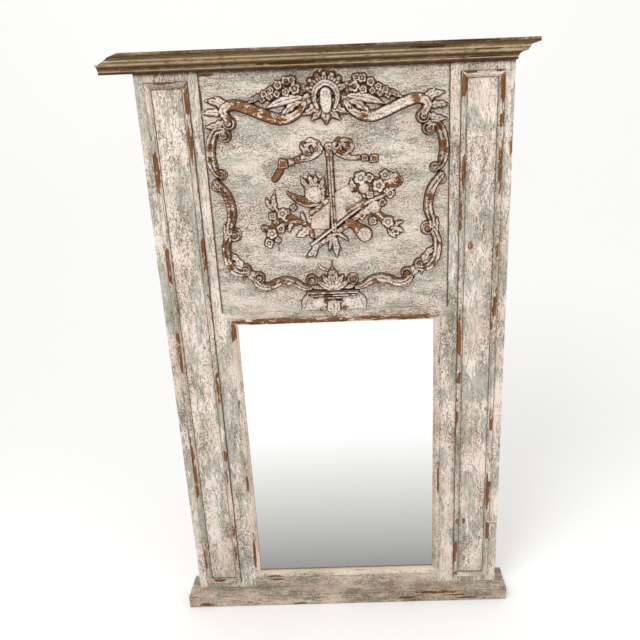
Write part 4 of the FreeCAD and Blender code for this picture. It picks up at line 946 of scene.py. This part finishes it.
# spangle 4 mm across, scuffs 1 mm long, and dust that has settled in patches
spangle = add(tree, "TexVoronoi", {"Vector": place, "Scale": 260.0}, "Color")
spangle = add(tree, "SeparateXYZ", {0: spangle})
scuffs = add(tree, "TexNoise", {"Vector": place, "Scale": 900.0, "Detail": 4.0, "Roughness": 0.7})
dust = add(tree, "TexNoise", {"Vector": place, "Scale": 70.0, "Detail": 5.0})
dust = add(tree, "MapRange", {"Value": dust, "From Min": 0.5, "From Max": 0.75})
tone = add(tree, "Mix", {0: spangle, 6: linear("#A7ABAC"), 7: linear("#C4C4BC")}, 2,
           data_type="RGBA")
tone = add(tree, "Mix", {0: dust, 6: tone, 7: linear("#7B7568")}, 2, data_type="RGBA")
shine = add(tree, "MapRange", {"Value": scuffs, "To Min": 0.25, "To Max": 0.55})
plated = add(tree, "MapRange", {"Value": dust, "To Min": 1.0, "To Max": 0.4})
scratched = add(tree, "Bump", {"Strength": 0.25, "Distance": 0.0001, "Height": scuffs})
steel = add(tree, "BsdfPrincipled", {"Base Color": tone, "Metallic": plated, "Roughness": shine,
                                     "Normal": scratched})
add(tree, "OutputMaterial", {0: steel})
dress([f"{side}_hanger_strap" for side in sides], zinc)


def woven(name, rows, body, replaced):
    """Closed mesh through rows of points, each row a loop; its ends close if they meet.

    rows is an array of (row, point, xyz). Rows that shrink to one point are merged."""
    count, around = rows.shape[:2]
    row, point = np.meshgrid(np.arange(count - 1), np.arange(around), indexing="ij")
    after = (point + 1) % around
    faces = np.stack([row * around + point, row * around + after,
                      (row + 1) * around + after, (row + 1) * around + point], axis=-1)
    mesh = bpy.data.meshes.new(name)
    mesh.from_pydata(rows.reshape(-1, 3).tolist(), [], faces.reshape(-1, 4).tolist())
    shape = bmesh.new()
    shape.from_mesh(mesh)
    bmesh.ops.remove_doubles(shape, verts=shape.verts, dist=0.01 * mm)
    bmesh.ops.recalc_face_normals(shape, faces=shape.faces)
    shape.to_mesh(mesh)
    shape.free()
    mesh.polygons.foreach_set("use_smooth", [True] * len(mesh.polygons))
    stand_in(name, mesh, zinc, body, replaced)


# rings: a wire of even thickness round a D, its upper corners bent on a 3 mm radius
wire = 0.00175
bend = 0.003
wire_sides, bow_steps, corner_steps = 16, 49, 7
for side in sides:
    ring_low, ring_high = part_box(side + "_hanger_ring")
    middle, depth = (ring_low.x + ring_high.x) / 2, (ring_low.y + ring_high.y) / 2
    bar, reach = ring_high.z - wire, (ring_high.x - ring_low.x) / 2 - wire
    bow_centre = ring_low.z + wire + reach
    swing = np.linspace(0, -math.pi, bow_steps)
    corner = np.linspace(math.pi, math.pi / 2, corner_steps)
    left_corner = np.stack([bend - reach + bend * np.cos(corner),
                            bar - bend + bend * np.sin(corner)], axis=1)
    right_corner = left_corner[::-1] * (-1, 1)
    bow_line = np.stack([reach * np.cos(swing), bow_centre + reach * np.sin(swing)], axis=1)
    path = np.vstack([left_corner, right_corner, bow_line])
    path = np.vstack([path, path[:1]])
    run = np.roll(path[:-1], -1, axis=0) - np.roll(path[:-1], 1, axis=0)
    run = np.vstack([run, run[:1]])
    run /= np.linalg.norm(run, axis=1, keepdims=True)
    turn_round = np.linspace(0, math.tau, wire_sides, endpoint=False)[None]
    rows = np.stack([middle + path[:, :1] - wire * run[:, 1:] * np.cos(turn_round),
                     depth + wire * np.sin(turn_round) * np.ones((len(path), 1)),
                     path[:, 1:] + wire * run[:, :1] * np.cos(turn_round)], axis=-1)
    woven(side + "_wire_ring", rows, side + "_ring", side + "_hanger_ring")

# screws: shank, flat underside and domed head, all turned round one axis; the dome is
# sunk by a cross 0.9 mm wide with sloping walls, which ends short of the rim
screws_low, screws_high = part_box("hanger_screws")
head_radius, shank_radius, head_rise = 0.0038, 0.0018, 0.0022
point_length, taper_length = 0.002, 0.005
slot_half, slot_wall, slot_depth, slot_reach = 0.00062, 0.0003, 0.0011, 0.62
screw_sides, dome_steps, dome_foot = 48, 14, 0.25
seat = screws_high.y - head_rise
outline = [(0, screws_low.y), (shank_radius * 0.5, screws_low.y + point_length),
           (shank_radius, screws_low.y + taper_length), (shank_radius, seat),
           (head_radius, seat)]
rise_angle = np.linspace(dome_foot, math.pi / 2, dome_steps)
dome = np.stack([head_radius * np.cos(rise_angle), seat + head_rise * np.sin(rise_angle)], axis=1)
profile = np.vstack([outline, dome])
profile[-1, 0] = 0
angle = np.linspace(0, math.tau, screw_sides, endpoint=False)
strap_centre = screws_high.x - head_radius
screw_top = screws_high.z - head_radius
for index, (across, height_up) in enumerate([(x, z) for x in (-strap_centre, strap_centre)
                                             for z in (screws_low.z + head_radius, screw_top)]):
    reach = profile[:, :1] * np.ones(angle.size)
    x, z = reach * np.cos(angle + index), reach * np.sin(angle + index)
    arm = np.minimum(np.abs(reach * np.cos(angle)), np.abs(reach * np.sin(angle)))
    on_dome = (np.arange(len(profile)) >= len(outline))[:, None] & (reach < head_radius * slot_reach)
    sunk = np.clip((slot_half - arm) / slot_wall, 0, 1) * slot_depth * on_dome
    rows = np.stack([across + x, profile[:, 1:] - sunk, height_up + z], axis=-1)
    woven(f"pan_head_screw_{index + 1}", rows, "mirror_frame", "hanger_screws")

# ------------------------------------------------------------- floor and lights
# Not part of the mirror: a plain pale studio floor that curves up behind, a broad soft
# light high in front, and a paler one from the side.
floor_half = 6.0
wall_distance, cove_radius, wall_height = 2.4, 1.2, 4.0
cove_steps = 24
arc = np.linspace(0, math.pi / 2, cove_steps)
run = np.concatenate([[-floor_half], wall_distance - cove_radius + cove_radius * np.sin(arc),
                      [wall_distance]])
lift = np.concatenate([[0.0], cove_radius - cove_radius * np.cos(arc), [wall_height]])
corners = np.zeros((2, run.size, 3))
corners[0, :, 0], corners[1, :, 0] = -floor_half, floor_half
corners[:, :, 1], corners[:, :, 2] = run, lift
first = np.arange(run.size - 1)
strips = np.stack([first, first + run.size, first + run.size + 1, first + 1], axis=1)
floor_mesh = bpy.data.meshes.new("studio_floor")
floor_mesh.from_pydata(corners.reshape(-1, 3).tolist(), [], strips.tolist())
floor_mesh.polygons.foreach_set("use_smooth", [True] * len(strips))
floor = bpy.data.objects.new("studio_floor", floor_mesh)
bpy.context.scene.collection.objects.link(floor)
# matt paper, which gives no highlights
paper = bpy.data.materials.new("matt_white_paper")
paper.use_nodes = True
paper.node_tree.nodes["Principled BSDF"].inputs["Base Color"].default_value = linear("#FBFBFA")
paper.node_tree.nodes["Principled BSDF"].inputs["Roughness"].default_value = 0.9
floor_mesh.materials.append(paper)

world = bpy.data.worlds.new("studio")
bpy.context.scene.world = world
world.use_nodes = True
world.node_tree.nodes["Background"].inputs["Color"].default_value = linear("#FFFFFF")
world.node_tree.nodes["Background"].inputs["Strength"].default_value = 0.83
for name, spot, target, size_of_light, power in (
        ("key_light", (-1.0, -1.9, 3.6), (0, 0, 1.1), 1.3, 48),
        ("side_light", (2.6, -2.4, 1.6), (0, 0, 0.7), 1.8, 14)):
    light = bpy.data.objects.new(name, bpy.data.lights.new(name, "AREA"))
    light.data.size = size_of_light
    light.data.energy = power
    light.location = spot
    light.rotation_euler = (Vector(target) - Vector(spot)).to_track_quat("-Z", "Y").to_euler()
    bpy.context.scene.collection.objects.link(light)
